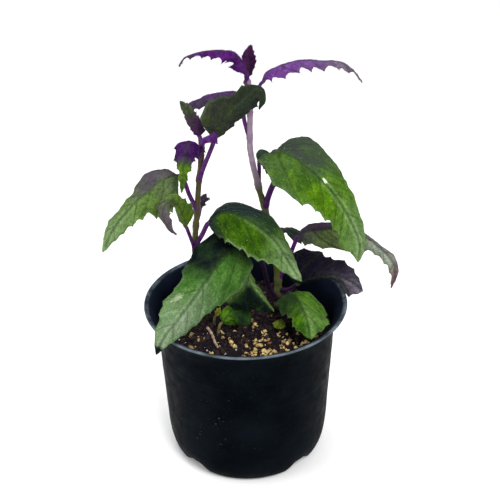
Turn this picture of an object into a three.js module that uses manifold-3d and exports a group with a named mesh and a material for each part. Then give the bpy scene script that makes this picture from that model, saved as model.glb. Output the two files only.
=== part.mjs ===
// A potted velvet plant: two hairy stems of a young purple velvet plant, with toothed, arching
// leaves, standing in the soil of a thin black nursery pot with four notches in its foot.
// Millimetres, +Z up, -Y towards the viewer. The origin is the centre of the pot's flat foot.
import * as THREE from "three";
import { mergeVertices } from "three/addons/utils/BufferGeometryUtils.js";
import Module from "manifold-3d";

const wasm = await Module();
wasm.setup();

// Clearance between pieces that touch, and the distance within which vertices are one.
const GAP = 0.3;
const WELD = 1e-4;

// Pot: radius and height of each place on its outer and inner wall, from the foot up and back down.
const POT_SIDES = 48;
const POT_OUTER = [
  [40.3, 0], [43.6, 1.9], [46.3, 6.4], [48, 12.5], [49, 20], [52.9, 89],
  [54.2, 95], [57, 98.8], [60, 100.7],
];
const POT_INNER = [
  [59.6, 102], [55.8, 99.8], [53, 95.6], [51.6, 89],
  [47.7, 20], [46.8, 13.2], [45, 7.4], [42.6, 3.4], [39.8, 1.5],
];
const NOTCH = { count: 4, firstAngle: 45, halfAngle: 9, flankAngle: 5, height: 4, from: 27, to: 33 };
const NOTCH_FADES_BY = 14;
const DRAIN_HOLE = { radius: 3.5, at: 38, sides: 16 };

// Soil: its level, the swells and crumbs of its top, and the loose light bits half sunk in it.
const SOIL_LEVEL = 84;
const SOIL_RINGS = 5;
const SOIL_SWELL = 1.1;
const SOIL_BITS = { count: 46, smallest: 1.1, largest: 2.1, seed: 11, within: 45 };

// Stems: places along each, from its buried foot to its top, and its thickness.
const STEM_SIDES = 8;
const STEMS = {
  left: {
    route: [
      [-24, 11, 56], [-24, 11, 84], [-27, 8, 110], [-29, 7, 135], [-27, 5, 160], [-25, 4, 181],
      [-23, 3, 198], [-23, 3, 205],
    ],
    footRadius: 2.1,
    topRadius: 1.3,
  },
  right: {
    route: [
      [20, 21, 56], [20, 21, 84], [19, 19, 115], [13, 17, 150], [9, 15, 167], [4, 13, 193],
      [4, 12, 216], [3, 11, 236],
    ],
    footRadius: 2.3,
    topRadius: 1.4,
  },
};
const NODE_SWELLING = 0.35;

// Blades: thickness, places across one, and how a tooth leans towards the tip.
const BLADE_THICKNESS = 0.8;
const BLADE_COLUMNS = [-1, -0.55, 0, 0.55, 1];
const TOOTH_CREST = 0.7;
const TIP_HALF_WIDTH = 0.35;
const EDGE_LEAN = 0.35;
const LOBE_FADES = 0.3;
const ROUND_BASE = 0.1;
const FIRST_ROW = 0.03;
const PETIOLE_SIDES = 6;
const PETIOLE_STEP = 7;
const RIB_REACHES = 0.14;

// Leaves. route: places from near the stem to the tip, of which number base starts the blade.
// left, right: half widths at the base and at each further fifth of the blade, seen from above
// with the tip away. face: the way the upper side looks at the base and at the tip. fold: degrees
// by which the left and the right half bend down from the midrib. curl: further degrees towards
// the edge. tooth: depth of the teeth of the left and the right edge. lobe: how far the left and
// the right corner at the base reach back. join: the stem's height at which the stalk leaves it.
const LEAVES = {
  leaf_right_large: {
    stem: "right", join: 155,
    route: [
      [15, 13, 167], [19, 10, 180], [17, 8, 192], [19, 6, 196], [28, 1, 194], [36, -3, 189],
      [45, -8, 182], [54, -12, 171], [61, -14, 158], [65, -15, 146], [64, -15, 136],
    ],
    base: 3, left: [28, 26, 17, 14, 9], right: [15, 24, 16, 12, 11], face: [0.1, -0.52, 0.8],
    tipFace: [0.4, -0.85, 0.3], fold: [22, -30], tipFold: [30, 30], curl: 14, wave: 1.6, waves: 2.4,
    teeth: 9, tooth: [0.9, 2.8], lobe: [0.3, 1], petiole: 1.8, colour: 0x3f6a1c,
  },
  leaf_right_rear_arched: {
    stem: "right", join: 104,
    route: [
      [25, 17, 116], [29, 15, 130], [32, 13, 138], [38, 11, 142], [50, 9, 144], [61, 7, 144],
      [71, 5, 140], [79, 3, 134], [86, 2, 126], [88, 1, 117], [86, 0, 109],
    ],
    base: 2, left: [6, 7, 4, 2, 4], right: [9, 13, 15, 6, 5], face: [-0.1, -0.6, 0.8],
    tipFace: [0.4, -0.9, 0.1], fold: [28, 34], tipFold: [24, 24], curl: 18, wave: 1.2, waves: 2.2,
    teeth: 9, tooth: [0.8, 2.8], lobe: [0.8, 0.8], petiole: 1.3, colour: 0x4c4a48,
  },
  leaf_right_dark_low: {
    stem: "right", join: 96,
    route: [
      [26, 16, 99], [31, 12, 105], [38, 9, 110], [45, 6, 114], [52, 4, 116], [58, 2, 115],
      [64, 0, 112], [69, -2, 108],
    ],
    base: 1, left: [20, 20, 12, 10, 6], right: [4, 4, 6, 11, 11], face: [-0.3, -0.8, 0.45],
    tipFace: [0.2, -0.85, 0.5], fold: [5, 80], tipFold: [20, 30], curl: 10, wave: 1.2, waves: 2,
    teeth: 8, tooth: [1.8, 2], lobe: [0.8, 0.8], petiole: 1.2, colour: 0x241c2c,
  },
  leaf_right_front_low: {
    stem: "right", join: 89,
    route: [
      [23, 13, 95], [27, 6, 103], [31, -4, 104], [33, -14, 104], [35, -24, 104], [36, -32, 102],
      [37, -37, 98],
    ],
    base: 1, left: [9, 17, 17, 15, 8], right: [9, 14, 11, 10, 7], face: [0.1, -0.3, 0.95],
    tipFace: [0.1, -0.6, 0.8], fold: [18, 18], curl: 15, wave: 1.6, waves: 2, teeth: 6,
    tooth: [1.8, 2], lobe: [0.8, 0.8], petiole: 1.2, colour: 0x4c8a1e,
  },
  leaf_right_upper_left: {
    stem: "right", join: 202,
    route: [
      [1, 14, 210], [0, 15, 218], [-2, 16, 226], [-9, 15, 227], [-17, 13, 226], [-24, 12, 224],
      [-29, 11, 222], [-28, 10, 217],
    ],
    base: 2, left: [6, 7, 6, 6, 4], right: [6, 7, 8, 6, 4], face: [0, -0.2, 1],
    tipFace: [-0.7, -0.3, 0.6], fold: [25, 20], curl: 20, wave: 0.8, waves: 2, teeth: 7,
    tooth: [1.4, 1], lobe: [0.4, 0.4], petiole: 1.2, colour: 0x4f2f63,
  },
  leaf_right_tucked: {
    stem: "right", join: 170,
    route: [[9, 18, 178], [9, 18, 184], [12, 19, 187], [15, 20, 183], [17, 20, 177], [18, 20, 171]],
    base: 1, left: [4, 6, 6, 5, 3], right: [4, 6, 6, 5, 3], face: [0.1, -0.6, 0.8],
    tipFace: [0.5, -0.7, 0.4], fold: [20, 20], curl: 15, wave: 0.6, waves: 2, teeth: 4,
    tooth: [1.2, 1.2], lobe: [0.3, 0.3], petiole: 1.1, colour: 0x24401a,
  },
  leaf_right_top_left: {
    stem: "right", join: 226,
    route: [
      [2, 9, 235], [2, 8, 242], [-1, 7, 250], [-5, 6, 254], [-11, 5, 255], [-17, 5, 255],
      [-22, 3, 255], [-27, 2, 254], [-31, 1, 252], [-33, 1, 248],
    ],
    base: 0, left: [5, 8, 8, 5, 3], right: [2, 3, 4, 3, 2], face: [0, -0.3, 1],
    tipFace: [-0.5, -0.3, 0.8], fold: [42, 42], curl: 25, wave: 0.5, waves: 3, teeth: 8,
    tooth: [3.2, 0.6], lobe: [0.2, 0.2], petiole: 0.9, colour: 0x3f0f5c,
  },
  leaf_right_bud: {
    stem: "right", join: 234,
    route: [[3, 13, 237], [4, 14, 240], [4, 14, 245], [4, 14, 250], [5, 14, 255]],
    base: 0, left: [2, 3, 5, 5, 3], right: [2, 3, 5, 5, 3], face: [0, -1, 0.1],
    tipFace: [0, -1, 0.1], fold: [-28, -28], curl: -20, wave: 0.4, waves: 3, teeth: 6,
    tooth: [0.6, 1], lobe: [0, 0], petiole: 0.9, colour: 0x3f0f5c,
  },
  leaf_right_top_right: {
    stem: "right", join: 218,
    route: [
      [9, 12, 231], [11, 12, 235], [13, 11, 240], [20, 10, 244], [29, 9, 247], [36, 8, 248],
      [44, 6, 248], [52, 5, 248], [58, 4, 245], [62, 3, 241], [64, 2, 237],
    ],
    base: 1, left: [5, 6, 5, 3, 2], right: [6, 8, 7, 6, 4], face: [0, -0.3, 1],
    tipFace: [0.6, -0.3, 0.7], fold: [40, 40], curl: 25, wave: 0.5, waves: 3, teeth: 8,
    tooth: [0.6, 2.8], lobe: [0.2, 0.2], petiole: 1, colour: 0x5c3270,
  },
  leaf_right_back: {
    stem: "right", join: 122,
    route: [
      [19, 26, 131], [24, 33, 131], [29, 40, 128], [34, 46, 123], [38, 51, 116], [40, 54, 109],
    ],
    base: 1, left: [8, 11, 11, 9, 5], right: [8, 11, 11, 9, 5], face: [0.2, 0, 1],
    tipFace: [0.5, 0.6, 0.6], fold: [20, 20], curl: 20, wave: 1.2, waves: 2, teeth: 7,
    tooth: [1.8, 1.8], lobe: [0.6, 0.6], petiole: 1.1, colour: 0x2f4a35,
  },
  leaf_right_over_rim: {
    stem: "right", join: 87,
    route: [
      [14, 12, 104], [10, 6, 124], [3, 0, 138], [-3, -6, 142], [-13, -15, 137], [-22, -24, 130],
      [-29, -32, 123], [-37, -41, 116], [-45, -47, 108], [-50, -49, 98],
    ],
    base: 3, left: [13, 22, 16, 12, 8], right: [17, 19, 14, 14, 8], face: [0.1, -0.75, 0.65],
    tipFace: [0, -0.9, 0.4], fold: [26, 16], curl: 14, wave: 1.6, waves: 2.4, teeth: 8,
    tooth: [1.8, 1.8], lobe: [0.8, 0.8], petiole: 1.5, colour: 0x55823f,
  },
  leaf_left_under: {
    stem: "left", join: 112,
    route: [
      [-17, 4, 128], [-7, -1, 131], [-3, -4, 128], [1, -7, 123], [4, -10, 117], [10, -13, 110],
      [16, -15, 103],
    ],
    base: 1, left: [6, 8, 7, 7, 4], right: [8, 15, 20, 14, 7], face: [0.3, -0.75, 0.6],
    tipFace: [0.3, -0.75, 0.6], fold: [40, 30], curl: 15, wave: 1, waves: 2, teeth: 7,
    tooth: [1.8, 1.8], lobe: [0.4, 0.4], petiole: 1.2, colour: 0x2c4a24,
  },
  leaf_left_central: {
    stem: "left", join: 136,
    route: [
      [-25, 3, 144], [-20, -2, 156], [-12, -8, 165], [-3, -14, 166], [7, -20, 163], [17, -26, 156],
      [24, -31, 146], [31, -34, 135],
    ],
    base: 1, left: [12, 16, 16, 12, 8], right: [9, 17, 19, 15, 8], face: [-0.1, -0.48, 0.86],
    tipFace: [0.5, -0.7, 0.5], fold: [26, 28], curl: 18, wave: 1.6, waves: 2.4, teeth: 8,
    tooth: [1.2, 2], lobe: [0.9, 0.9], petiole: 1.4, colour: 0x34602a,
  },
  leaf_left_outer: {
    stem: "left", join: 160,
    route: [
      [-31, 3, 171], [-33, 0, 180], [-36, -3, 186], [-45, -7, 185], [-53, -11, 180],
      [-63, -15, 172], [-73, -18, 160], [-79, -19, 147],
    ],
    base: 2, left: [8, 18, 12, 8, 5], right: [1, 13, 7, 7, 6], face: [-0.1, -0.66, 0.7],
    tipFace: [-0.4, -0.8, 0.4], fold: [24, 22], curl: 14, wave: 1.6, waves: 2.2, teeth: 8,
    tooth: [3, 0.7], lobe: [0.3, 0.6], petiole: 1.3, colour: 0x4d7830,
  },
  leaf_left_curled: {
    stem: "left", join: 132,
    route: [
      [-31, 3, 142], [-33, -5, 155], [-35, -14, 170], [-39, -21, 179], [-43, -25, 178],
      [-44, -27, 173], [-42, -27, 168], [-40, -27, 164], [-37, -27, 162],
    ],
    base: 1, left: [4, 5, 5, 5, 4], right: [11, 9, 6, 5, 4], face: [0.45, -0.75, 0.4],
    tipFace: [-0.7, -0.6, 0.1], fold: [60, 5], tipFold: [20, 20], curl: 15, wave: 0.8, waves: 2,
    teeth: 7, tooth: [1.8, 1.8], lobe: [0.4, 0.4], petiole: 1.1, colour: 0x5a5a3a,
  },
  leaf_left_small_rear: {
    stem: "left", join: 150,
    route: [[-26, 9, 155], [-25, 11, 159], [-23, 13, 164], [-20, 14, 162]],
    base: 1, left: [2, 3, 4, 3, 2], right: [2, 3, 4, 3, 2], face: [-0.3, -0.7, 0.6],
    tipFace: [-0.3, -0.7, 0.6], fold: [20, 20], curl: 15, wave: 0.6, waves: 2, teeth: 4,
    tooth: [1.8, 2], lobe: [0.4, 0.4], petiole: 0.9, colour: 0x3a2440,
  },
  leaf_left_hooded: {
    stem: "left", join: 194,
    route: [
      [-26, 0, 203], [-28, -5, 207], [-31, -10, 205], [-32, -14, 199], [-33, -16, 191],
      [-34, -16, 182],
    ],
    base: 0, left: [8, 10, 7, 5, 3], right: [8, 9, 8, 5, 3], face: [-0.1, -0.5, 0.9],
    tipFace: [0, -1, 0], fold: [12, 26], tipFold: [30, 30], curl: 10, wave: 0.8, waves: 2, teeth: 6,
    tooth: [2, 2.4], lobe: [0.4, 0.4], petiole: 1.1, colour: 0x45305c,
  },
  leaf_left_top_right: {
    stem: "left", join: 199,
    route: [[-22, -2, 207], [-19, -7, 211], [-16, -9, 212], [-14, -10, 208]],
    base: 0, left: [3, 5, 5, 4, 3], right: [5, 7, 7, 5, 3], face: [0, -0.4, 0.9],
    tipFace: [0.6, -0.5, 0.5], fold: [20, 20], curl: 15, wave: 0.4, waves: 2, teeth: 4,
    tooth: [1, 1.2], lobe: [0.2, 0.2], petiole: 0.9, colour: 0x4a1a6a,
  },
  leaf_left_bud: {
    stem: "left", join: 203,
    route: [[-24, 5, 206], [-25, 5, 210], [-28, 6, 215], [-30, 7, 220], [-34, 7, 226]],
    base: 0, left: [3, 4, 4, 4, 3], right: [4, 5, 5, 4, 3], face: [0.3, -0.95, 0.1],
    tipFace: [0.4, -0.9, 0.2], fold: [-22, -22], curl: -12, wave: 0.5, waves: 3, teeth: 7,
    tooth: [0.8, 0.8], lobe: [0, 0], petiole: 1, colour: 0x3a2438,
  },
  leaf_left_upper_right: {
    stem: "left", join: 180,
    route: [
      [-21, 0, 192], [-17, -3, 203], [-15, -4, 209], [-10, -5, 217], [-3, -7, 226], [3, -8, 232],
      [8, -9, 237], [11, -10, 233], [9, -11, 228],
    ],
    base: 2, left: [11, 15, 9, 9, 3], right: [4, 6, 7, 7, 5], face: [-0.25, -0.95, 0.15],
    tipFace: [-0.2, -0.8, 0.5], fold: [0, 34], tipFold: [24, 34], curl: 14, wave: 1.2, waves: 2,
    teeth: 8, tooth: [1, 2.2], lobe: [0.3, 0.3], petiole: 1.3, colour: 0x2f4022,
  },
};

// Young growth at the soil: a bent seedling, a forked shoot and a tuft at the right stem's foot.
// join only varies the teeth, and foot is where the stalk rises from the soil.
const SPROUTS = {
  seedling: {
    join: 1, foot: [-17, -11], petiole: 0.9,
    route: [[-16, -11, 89], [-14, -10, 93], [-9, -10, 98], [-3, -11, 98], [2, -13, 93]],
    base: 1, left: [5, 7, 8, 8, 6], right: [5, 8, 10, 9, 6], face: [0, -0.6, 0.8],
    tipFace: [0.3, -0.8, 0.5], fold: [20, 25], curl: 20, wave: 0.5, waves: 2, teeth: 4,
    tooth: [0.8, 0.8], lobe: [0.2, 0.2], colour: 0x4f7f24,
  },
  forked_shoot: {
    join: 2, foot: [-19, 0], petiole: 0.9,
    route: [[-19, 0, 88], [-18, 0, 91], [-16, -1, 95], [-15, -2, 98]],
    base: 1, left: [1, 2, 2, 2, 1], right: [1, 2, 2, 2, 1], face: [-0.5, -0.8, 0.3],
    tipFace: [-0.5, -0.8, 0.3], fold: [-20, -20], curl: 0, wave: 0, waves: 1, teeth: 3,
    tooth: [0.3, 0.3], lobe: [0, 0], colour: 0x9aa33a,
  },
  foot_tuft: {
    join: 3, foot: [21, -1], petiole: 0.9,
    route: [[21, -2, 87], [21, -4, 90], [20, -8, 91], [19, -12, 89]],
    base: 1, left: [3, 4, 5, 4, 3], right: [3, 4, 5, 4, 3], face: [0, -0.3, 1],
    tipFace: [0, -0.6, 0.8], fold: [20, 20], curl: 10, wave: 0.4, waves: 2, teeth: 4,
    tooth: [0.9, 0.9], lobe: [0.2, 0.2], colour: 0x3c5f28,
  },
};

// A dry twig lying on the soil.
const TWIG = { from: [-23, -6, 86], to: [-16, -27, 86], radius: 0.9, sides: 6 };

const { PI, cos, sin, abs, min, max, floor, sqrt, pow } = Math;
const radians = THREE.MathUtils.degToRad;
const mix = THREE.MathUtils.lerp;
const vector = (place) => new THREE.Vector3(...place);

// A number from 0 to 1 that is always the same for the same seed and count.
function draw(seed, count) {
  const spread = sin(seed * 78.233 + count * 12.9898) * 43758.5453;
  return spread - floor(spread);
}

function toSolid(geometry) {
  geometry.deleteAttribute("normal");
  geometry.deleteAttribute("uv");
  const merged = mergeVertices(geometry, WELD);
  const triVerts = new Uint32Array(merged.index.array);
  const vertProperties = merged.attributes.position.array;
  return new wasm.Manifold(new wasm.Mesh({ numProp: 3, vertProperties, triVerts }));
}

function toGeometry(solid) {
  const made = solid.getMesh();
  const geometry = new THREE.BufferGeometry();
  geometry.setAttribute("position", new THREE.BufferAttribute(made.vertProperties, 3));
  geometry.setIndex(new THREE.BufferAttribute(made.triVerts, 1));
  return geometry;
}

// A closed skin over a row of rings with equal counts. From place flipFrom of a ring on, its
// quads are split along the other diagonal.
function loft(rings, flipFrom = Infinity) {
  const count = rings[0].length;
  const places = rings.flat();
  const faces = [];
  for (let ring = 0; ring < rings.length - 1; ring += 1) {
    for (let k = 0; k < count; k += 1) {
      const next = (k + 1) % count;
      const a = ring * count + k;
      const b = ring * count + next;
      const c = a + count;
      const d = b + count;
      if (k >= flipFrom) faces.push(a, b, c, b, d, c);
      else faces.push(a, b, d, a, d, c);
    }
  }
  for (const [ring, turned] of [[0, true], [rings.length - 1, false]]) {
    const centre = new THREE.Vector3();
    rings[ring].forEach((place) => centre.add(place));
    places.push(centre.divideScalar(count));
    const middle = places.length - 1;
    for (let k = 0; k < count; k += 1) {
      const a = ring * count + k;
      const b = ring * count + ((k + 1) % count);
      if (turned) faces.push(middle, b, a);
      else faces.push(middle, a, b);
    }
  }
  const geometry = new THREE.BufferGeometry();
  geometry.setFromPoints(places);
  geometry.setIndex(faces);
  return geometry;
}

// A round tube through the places, with a radius at each, as a closed skin.
function tube(places, radii, sides) {
  let across = new THREE.Vector3();
  const rings = places.map((place, i) => {
    const before = places[max(i - 1, 0)];
    const after = places[min(i + 1, places.length - 1)];
    const along = after.clone().sub(before).normalize();
    if (i === 0) across.set(abs(along.x) < 0.9 ? 1 : 0, abs(along.x) < 0.9 ? 0 : 1, 0);
    across = across.clone().addScaledVector(along, -across.dot(along)).normalize();
    const up = along.clone().cross(across);
    return Array.from({ length: sides }, (_, k) => {
      const turn = (2 * PI * k) / sides;
      const radius = radii[i];
      return place.clone()
        .addScaledVector(across, radius * cos(turn))
        .addScaledVector(up, radius * sin(turn));
    });
  });
  return loft(rings);
}

const smoothCurve = (route) => new THREE.CatmullRomCurve3(route, false, "catmullrom", 0.5);

// Turns a closed outline of radius and height round the upright axis.
function turned(outline, sides) {
  const points = outline.map(([radius, height]) => new THREE.Vector2(radius, height));
  return new THREE.LatheGeometry(points, sides).rotateX(PI / 2);
}

// Lift of the pot's floor and foot at a notch, nil elsewhere.
function notchLift(x, y, z) {
  const radius = sqrt(x * x + y * y);
  const step = 360 / NOTCH.count;
  const angle = THREE.MathUtils.radToDeg(Math.atan2(y, x)) - NOTCH.firstAngle;
  const off = abs(angle - step * Math.round(angle / step));
  const over = THREE.MathUtils.smoothstep(off, NOTCH.halfAngle - NOTCH.flankAngle,
    NOTCH.halfAngle + NOTCH.flankAngle);
  const out = THREE.MathUtils.smoothstep(radius, NOTCH.from, NOTCH.to);
  return NOTCH.height * (1 - over) * out * max(0, 1 - z / NOTCH_FADES_BY);
}

function liftNotches(geometry) {
  const places = geometry.attributes.position;
  for (let i = 0; i < places.count; i += 1) {
    const x = places.getX(i);
    const y = places.getY(i);
    const z = places.getZ(i);
    places.setZ(i, z + notchLift(x, y, z));
  }
  return geometry;
}

// Radii of the rings of vertices in the floor where a notch starts and ends, so that it can rise.
const FLOOR_RINGS = [NOTCH.from, NOTCH.to];

// The pot before its drain holes are cut.
function potShell() {
  const under = FLOOR_RINGS.map((radius) => [radius, 0]);
  const floorTop = POT_INNER.at(-1)[1];
  const over = FLOOR_RINGS.map((radius) => [radius, floorTop]).reverse();
  const outline = [[0, 0], ...under, ...POT_OUTER, ...POT_INNER, ...over, [0, floorTop]];
  return toSolid(liftNotches(turned(outline, POT_SIDES)));
}

function pot() {
  let body = potShell();
  for (let k = 0; k < NOTCH.count; k += 1) {
    const angle = radians(NOTCH.firstAngle + (k * 360) / NOTCH.count);
    const { radius, at, sides } = DRAIN_HOLE;
    const hole = new THREE.CylinderGeometry(radius, radius, 4 * NOTCH.height, sides)
      .rotateX(PI / 2)
      .translate(at * cos(angle), at * sin(angle), NOTCH.height);
    body = body.subtract(toSolid(hole));
  }
  return body;
}

// Height of the soil's top over its level.
function soilSwell(x, y) {
  return SOIL_SWELL * (
    0.5 * sin(x * 0.11 + 1.3) * cos(y * 0.13 - 0.4)
    + 0.3 * sin(x * 0.31 - y * 0.23 + 0.7)
    + 0.25 * sin(x * 0.17 + y * 0.43 + 2.1)
  );
}

function soilBody() {
  const wall = POT_INNER.filter(([, height]) => height < SOIL_LEVEL).reverse();
  const floorTop = POT_INNER.at(-1)[1];
  const fill = wall.map(([radius, height]) => [radius - GAP, height + GAP]);
  const [lower, upper] = [POT_INNER[4], POT_INNER[3]];
  const rise = (SOIL_LEVEL - lower[1]) / (upper[1] - lower[1]);
  const edge = mix(lower[0], upper[0], rise) - GAP;
  const top = Array.from({ length: SOIL_RINGS }, (_, ring) => {
    return [edge * (1 - ring / SOIL_RINGS), SOIL_LEVEL];
  });
  const outline = [[0, floorTop + GAP], ...fill, ...top, [0, SOIL_LEVEL]];
  const geometry = turned(outline, POT_SIDES);
  const places = geometry.attributes.position;
  for (let i = 0; i < places.count; i += 1) {
    if (places.getZ(i) < SOIL_LEVEL - WELD) continue;
    places.setZ(i, SOIL_LEVEL + soilSwell(places.getX(i), places.getY(i)));
  }
  return largestOf(toSolid(geometry).subtract(potShell().translate([0, 0, GAP])));
}

// Light bits of vermiculite and perlite, half sunk in the soil.
function soilBits() {
  const { count, smallest, largest, seed, within } = SOIL_BITS;
  return Array.from({ length: count }, (_, k) => {
    const radius = within * sqrt(draw(seed, 4 * k));
    const angle = 2 * PI * draw(seed, 4 * k + 1);
    const size = mix(smallest, largest, draw(seed, 4 * k + 2));
    const [x, y] = [radius * cos(angle), radius * sin(angle)];
    const bit = new THREE.OctahedronGeometry(size)
      .scale(1, 1, 0.8)
      .rotateZ(2 * PI * draw(seed, 4 * k + 3))
      .translate(x, y, SOIL_LEVEL + soilSwell(x, y) + 0.2 * size);
    return toSolid(bit);
  });
}

function stemCurve(stem) {
  return smoothCurve(stem.route.map(vector));
}

// The place on a stem's middle line at a height.
function placeAtHeight(curve, height) {
  let [low, high] = [0, 1];
  for (let step = 0; step < 30; step += 1) {
    const middle = (low + high) / 2;
    if (curve.getPoint(middle).z < height) low = middle;
    else high = middle;
  }
  return curve.getPoint(low);
}

// A stem, swollen a little where a leaf joins it. grown adds to it all round and at its ends.
function stemBody(stem, joins, grown = 0) {
  const curve = stemCurve(stem);
  const steps = 26;
  const places = [];
  const radii = [];
  for (let i = 0; i <= steps; i += 1) {
    const place = curve.getPointAt(i / steps);
    const nearest = min(...joins.map((height) => abs(height - place.z)));
    const swelling = NODE_SWELLING * max(0, 1 - nearest / 4);
    places.push(place);
    radii.push(mix(stem.footRadius, stem.topRadius, i / steps) + swelling + grown);
  }
  places[0].addScaledVector(curve.getTangentAt(0), -grown);
  places[steps].addScaledVector(curve.getTangentAt(1), grown);
  return toSolid(tube(places, radii, STEM_SIDES));
}

// Half the width of a blade to the crests of its teeth, at a part of the way from base to tip.
// side is -1 for the left half or 1 for the right half.
function halfWidthAt(leaf, u, side) {
  const widths = side < 0 ? leaf.left : leaf.right;
  const at = min(u, 1) * widths.length;
  const k = min(floor(at), widths.length - 1);
  const t = at - k;
  const all = [widths[0], ...widths, 0, -2 * widths.at(-1)];
  const [before, here, next, after] = all.slice(k, k + 4);
  const second = 2 * before - 5 * here + 4 * next - after;
  const third = 3 * (here - next) + after - before;
  const full = here + 0.5 * t * (next - before + t * (second + t * third));
  return max(full, 0) * sqrt(min(1, u / ROUND_BASE));
}

const widestOf = (leaf) => max(...leaf.left, ...leaf.right);
const halfOf = (side) => (side < 0 ? 0 : 1);

// Distance of the toothed edge from the midrib.
function edgeAt(leaf, u, side) {
  const half = halfWidthAt(leaf, u, side);
  const count = u * leaf.teeth;
  const which = floor(count + 1e-6);
  const part = max(count - which, 0);
  const rise = part < TOOTH_CREST ? part / TOOTH_CREST : (1 - part) / (1 - TOOTH_CREST);
  const depth = leaf.tooth[halfOf(side)] * mix(0.55, 1.25, draw(leaf.join + side, which));
  const fade = min(1, (1.6 * half) / widestOf(leaf));
  return max(half - depth * fade * (1 - rise), TIP_HALF_WIDTH);
}

// The middle surface of a leaf: route(f) along stalk and midrib, point(u, side, d) on the blade.
function leafSheet(leaf, start) {
  const places = [...(start ? [start] : []), ...leaf.route.map(vector)];
  const curve = smoothCurve(places);
  const lengths = curve.getLengths();
  const total = lengths.at(-1);
  const baseIndex = leaf.base + (start ? 1 : 0);
  const step = ((lengths.length - 1) * baseIndex) / (places.length - 1);
  const baseLength = mix(lengths[floor(step)], lengths[min(floor(step) + 1, lengths.length - 1)],
    step - floor(step));
  const base = baseLength / total;
  const face = vector(leaf.face);
  const tipFace = vector(leaf.tipFace);

  function frame(u) {
    const f = base + (1 - base) * u;
    const forward = curve.getTangentAt(f);
    const up = face.clone().lerp(tipFace, u);
    up.addScaledVector(forward, -up.dot(forward)).normalize();
    const aside = forward.clone().cross(up);
    return { centre: curve.getPointAt(f), forward, up, aside };
  }

  function point(u, side, distance) {
    const { centre, forward, up, aside } = frame(u);
    const half = max(halfWidthAt(leaf, u, side), TIP_HALF_WIDTH);
    const v = min(distance / half, 1.2);
    const fold = mix(leaf.fold[halfOf(side)], (leaf.tipFold ?? leaf.fold)[halfOf(side)], u);
    const bend = radians(fold + (leaf.curl * v) / 2);
    const nearBase = max(0, 1 - u / LOBE_FADES);
    const lean = EDGE_LEAN * (1 - nearBase) - leaf.lobe[halfOf(side)] * nearBase;
    const phase = side < 0 ? 0.6 : 2.4;
    const swing = sin(2 * PI * leaf.waves * u + phase) * (half / widestOf(leaf));
    const wave = leaf.wave * v * v * swing;
    return centre
      .addScaledVector(aside, side * distance * cos(bend))
      .addScaledVector(up, wave - distance * sin(bend))
      .addScaledVector(forward, distance * lean);
  }

  return { curve, base, frame, point, length: total };
}

// Parts of the way along the blade at which it has a row: one close to the base, each tooth's
// foot and crest, and the tip.
function bladeRows(leaf) {
  const rows = [];
  for (let tooth = 0; tooth < leaf.teeth; tooth += 1) {
    rows.push(tooth / leaf.teeth, (tooth + TOOTH_CREST) / leaf.teeth);
  }
  rows.splice(1, 0, FIRST_ROW);
  return [...rows, 1];
}

// The blade: its middle surface as a grid, set off to both sides along its normals.
function bladeSkin(leaf, sheet) {
  const rows = bladeRows(leaf);
  const grid = rows.map((u) => BLADE_COLUMNS.map((column) => {
    const side = column < 0 ? -1 : 1;
    const edge = u === 1 ? TIP_HALF_WIDTH : edgeAt(leaf, u, side);
    const reach = u === 0 ? leaf.petiole : max(edge, TIP_HALF_WIDTH);
    return sheet.point(u, side, abs(column) * reach);
  }));
  const lastRow = rows.length - 1;
  const lastColumn = BLADE_COLUMNS.length - 1;
  const normalAt = (i, j) => {
    const along = grid[min(i + 1, lastRow)][j].clone().sub(grid[max(i - 1, 0)][j]);
    const across = grid[i][min(j + 1, lastColumn)].clone().sub(grid[i][max(j - 1, 0)]);
    return across.cross(along).normalize();
  };
  const rings = grid.map((row, i) => {
    const normals = row.map((_, j) => normalAt(i, j));
    const set = (j, offset) => row[j].clone().addScaledVector(normals[j], offset);
    const above = row.map((_, j) => set(j, BLADE_THICKNESS / 2));
    const below = row.map((_, j) => set(j, -BLADE_THICKNESS / 2)).reverse();
    return [...above, ...below];
  });
  return loft(rings, BLADE_COLUMNS.length);
}

// The leaf stalk, which goes on under the blade as its midrib.
function stalkSkin(leaf, sheet) {
  const radius = leaf.petiole;
  const end = sheet.base + (1 - sheet.base) * RIB_REACHES;
  const steps = max(4, Math.round((end * sheet.length) / PETIOLE_STEP));
  const places = [];
  const radii = [];
  for (let i = 0; i <= steps; i += 1) {
    const f = (end * i) / steps;
    const u = max(0, (f - sheet.base) / (1 - sheet.base));
    const place = sheet.curve.getPointAt(f);
    const { up } = sheet.frame(u);
    places.push(place.addScaledVector(up, u > 0 ? -0.35 * radius : 0));
    radii.push(radius * (1 - (0.6 * u) / RIB_REACHES));
  }
  return tube(places, radii, PETIOLE_SIDES);
}

// The largest piece of a solid, without scraps that a cut has left.
function largestOf(solid) {
  return solid.decompose().reduce((most, piece) => (piece.volume() > most.volume() ? piece : most));
}

function leafBody(leaf, start) {
  const sheet = leafSheet(leaf, start);
  return toSolid(bladeSkin(leaf, sheet)).add(toSolid(stalkSkin(leaf, sheet)));
}

function sproutBody(sprout, grown = 0) {
  const start = vector([...sprout.foot, SOIL_LEVEL - 6]);
  if (!grown) return leafBody(sprout, start);
  const sheet = leafSheet(sprout, start);
  const places = [0, 0.25, 0.5, 0.75, 1].map((part) => sheet.curve.getPointAt(sheet.base * part));
  places[0].z -= grown;
  return toSolid(tube(places, places.map(() => sprout.petiole + grown), PETIOLE_SIDES));
}

function twigBody(grown = 0) {
  const [from, to] = [vector(TWIG.from), vector(TWIG.to)];
  const along = to.clone().sub(from).normalize();
  from.addScaledVector(along, -grown);
  to.addScaledVector(along, grown);
  const middle = from.clone().lerp(to, 0.5);
  const radius = TWIG.radius + grown;
  return toSolid(tube([from, middle, to], [radius, radius, 0.8 * radius], TWIG.sides));
}

const group = new THREE.Group();

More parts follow.
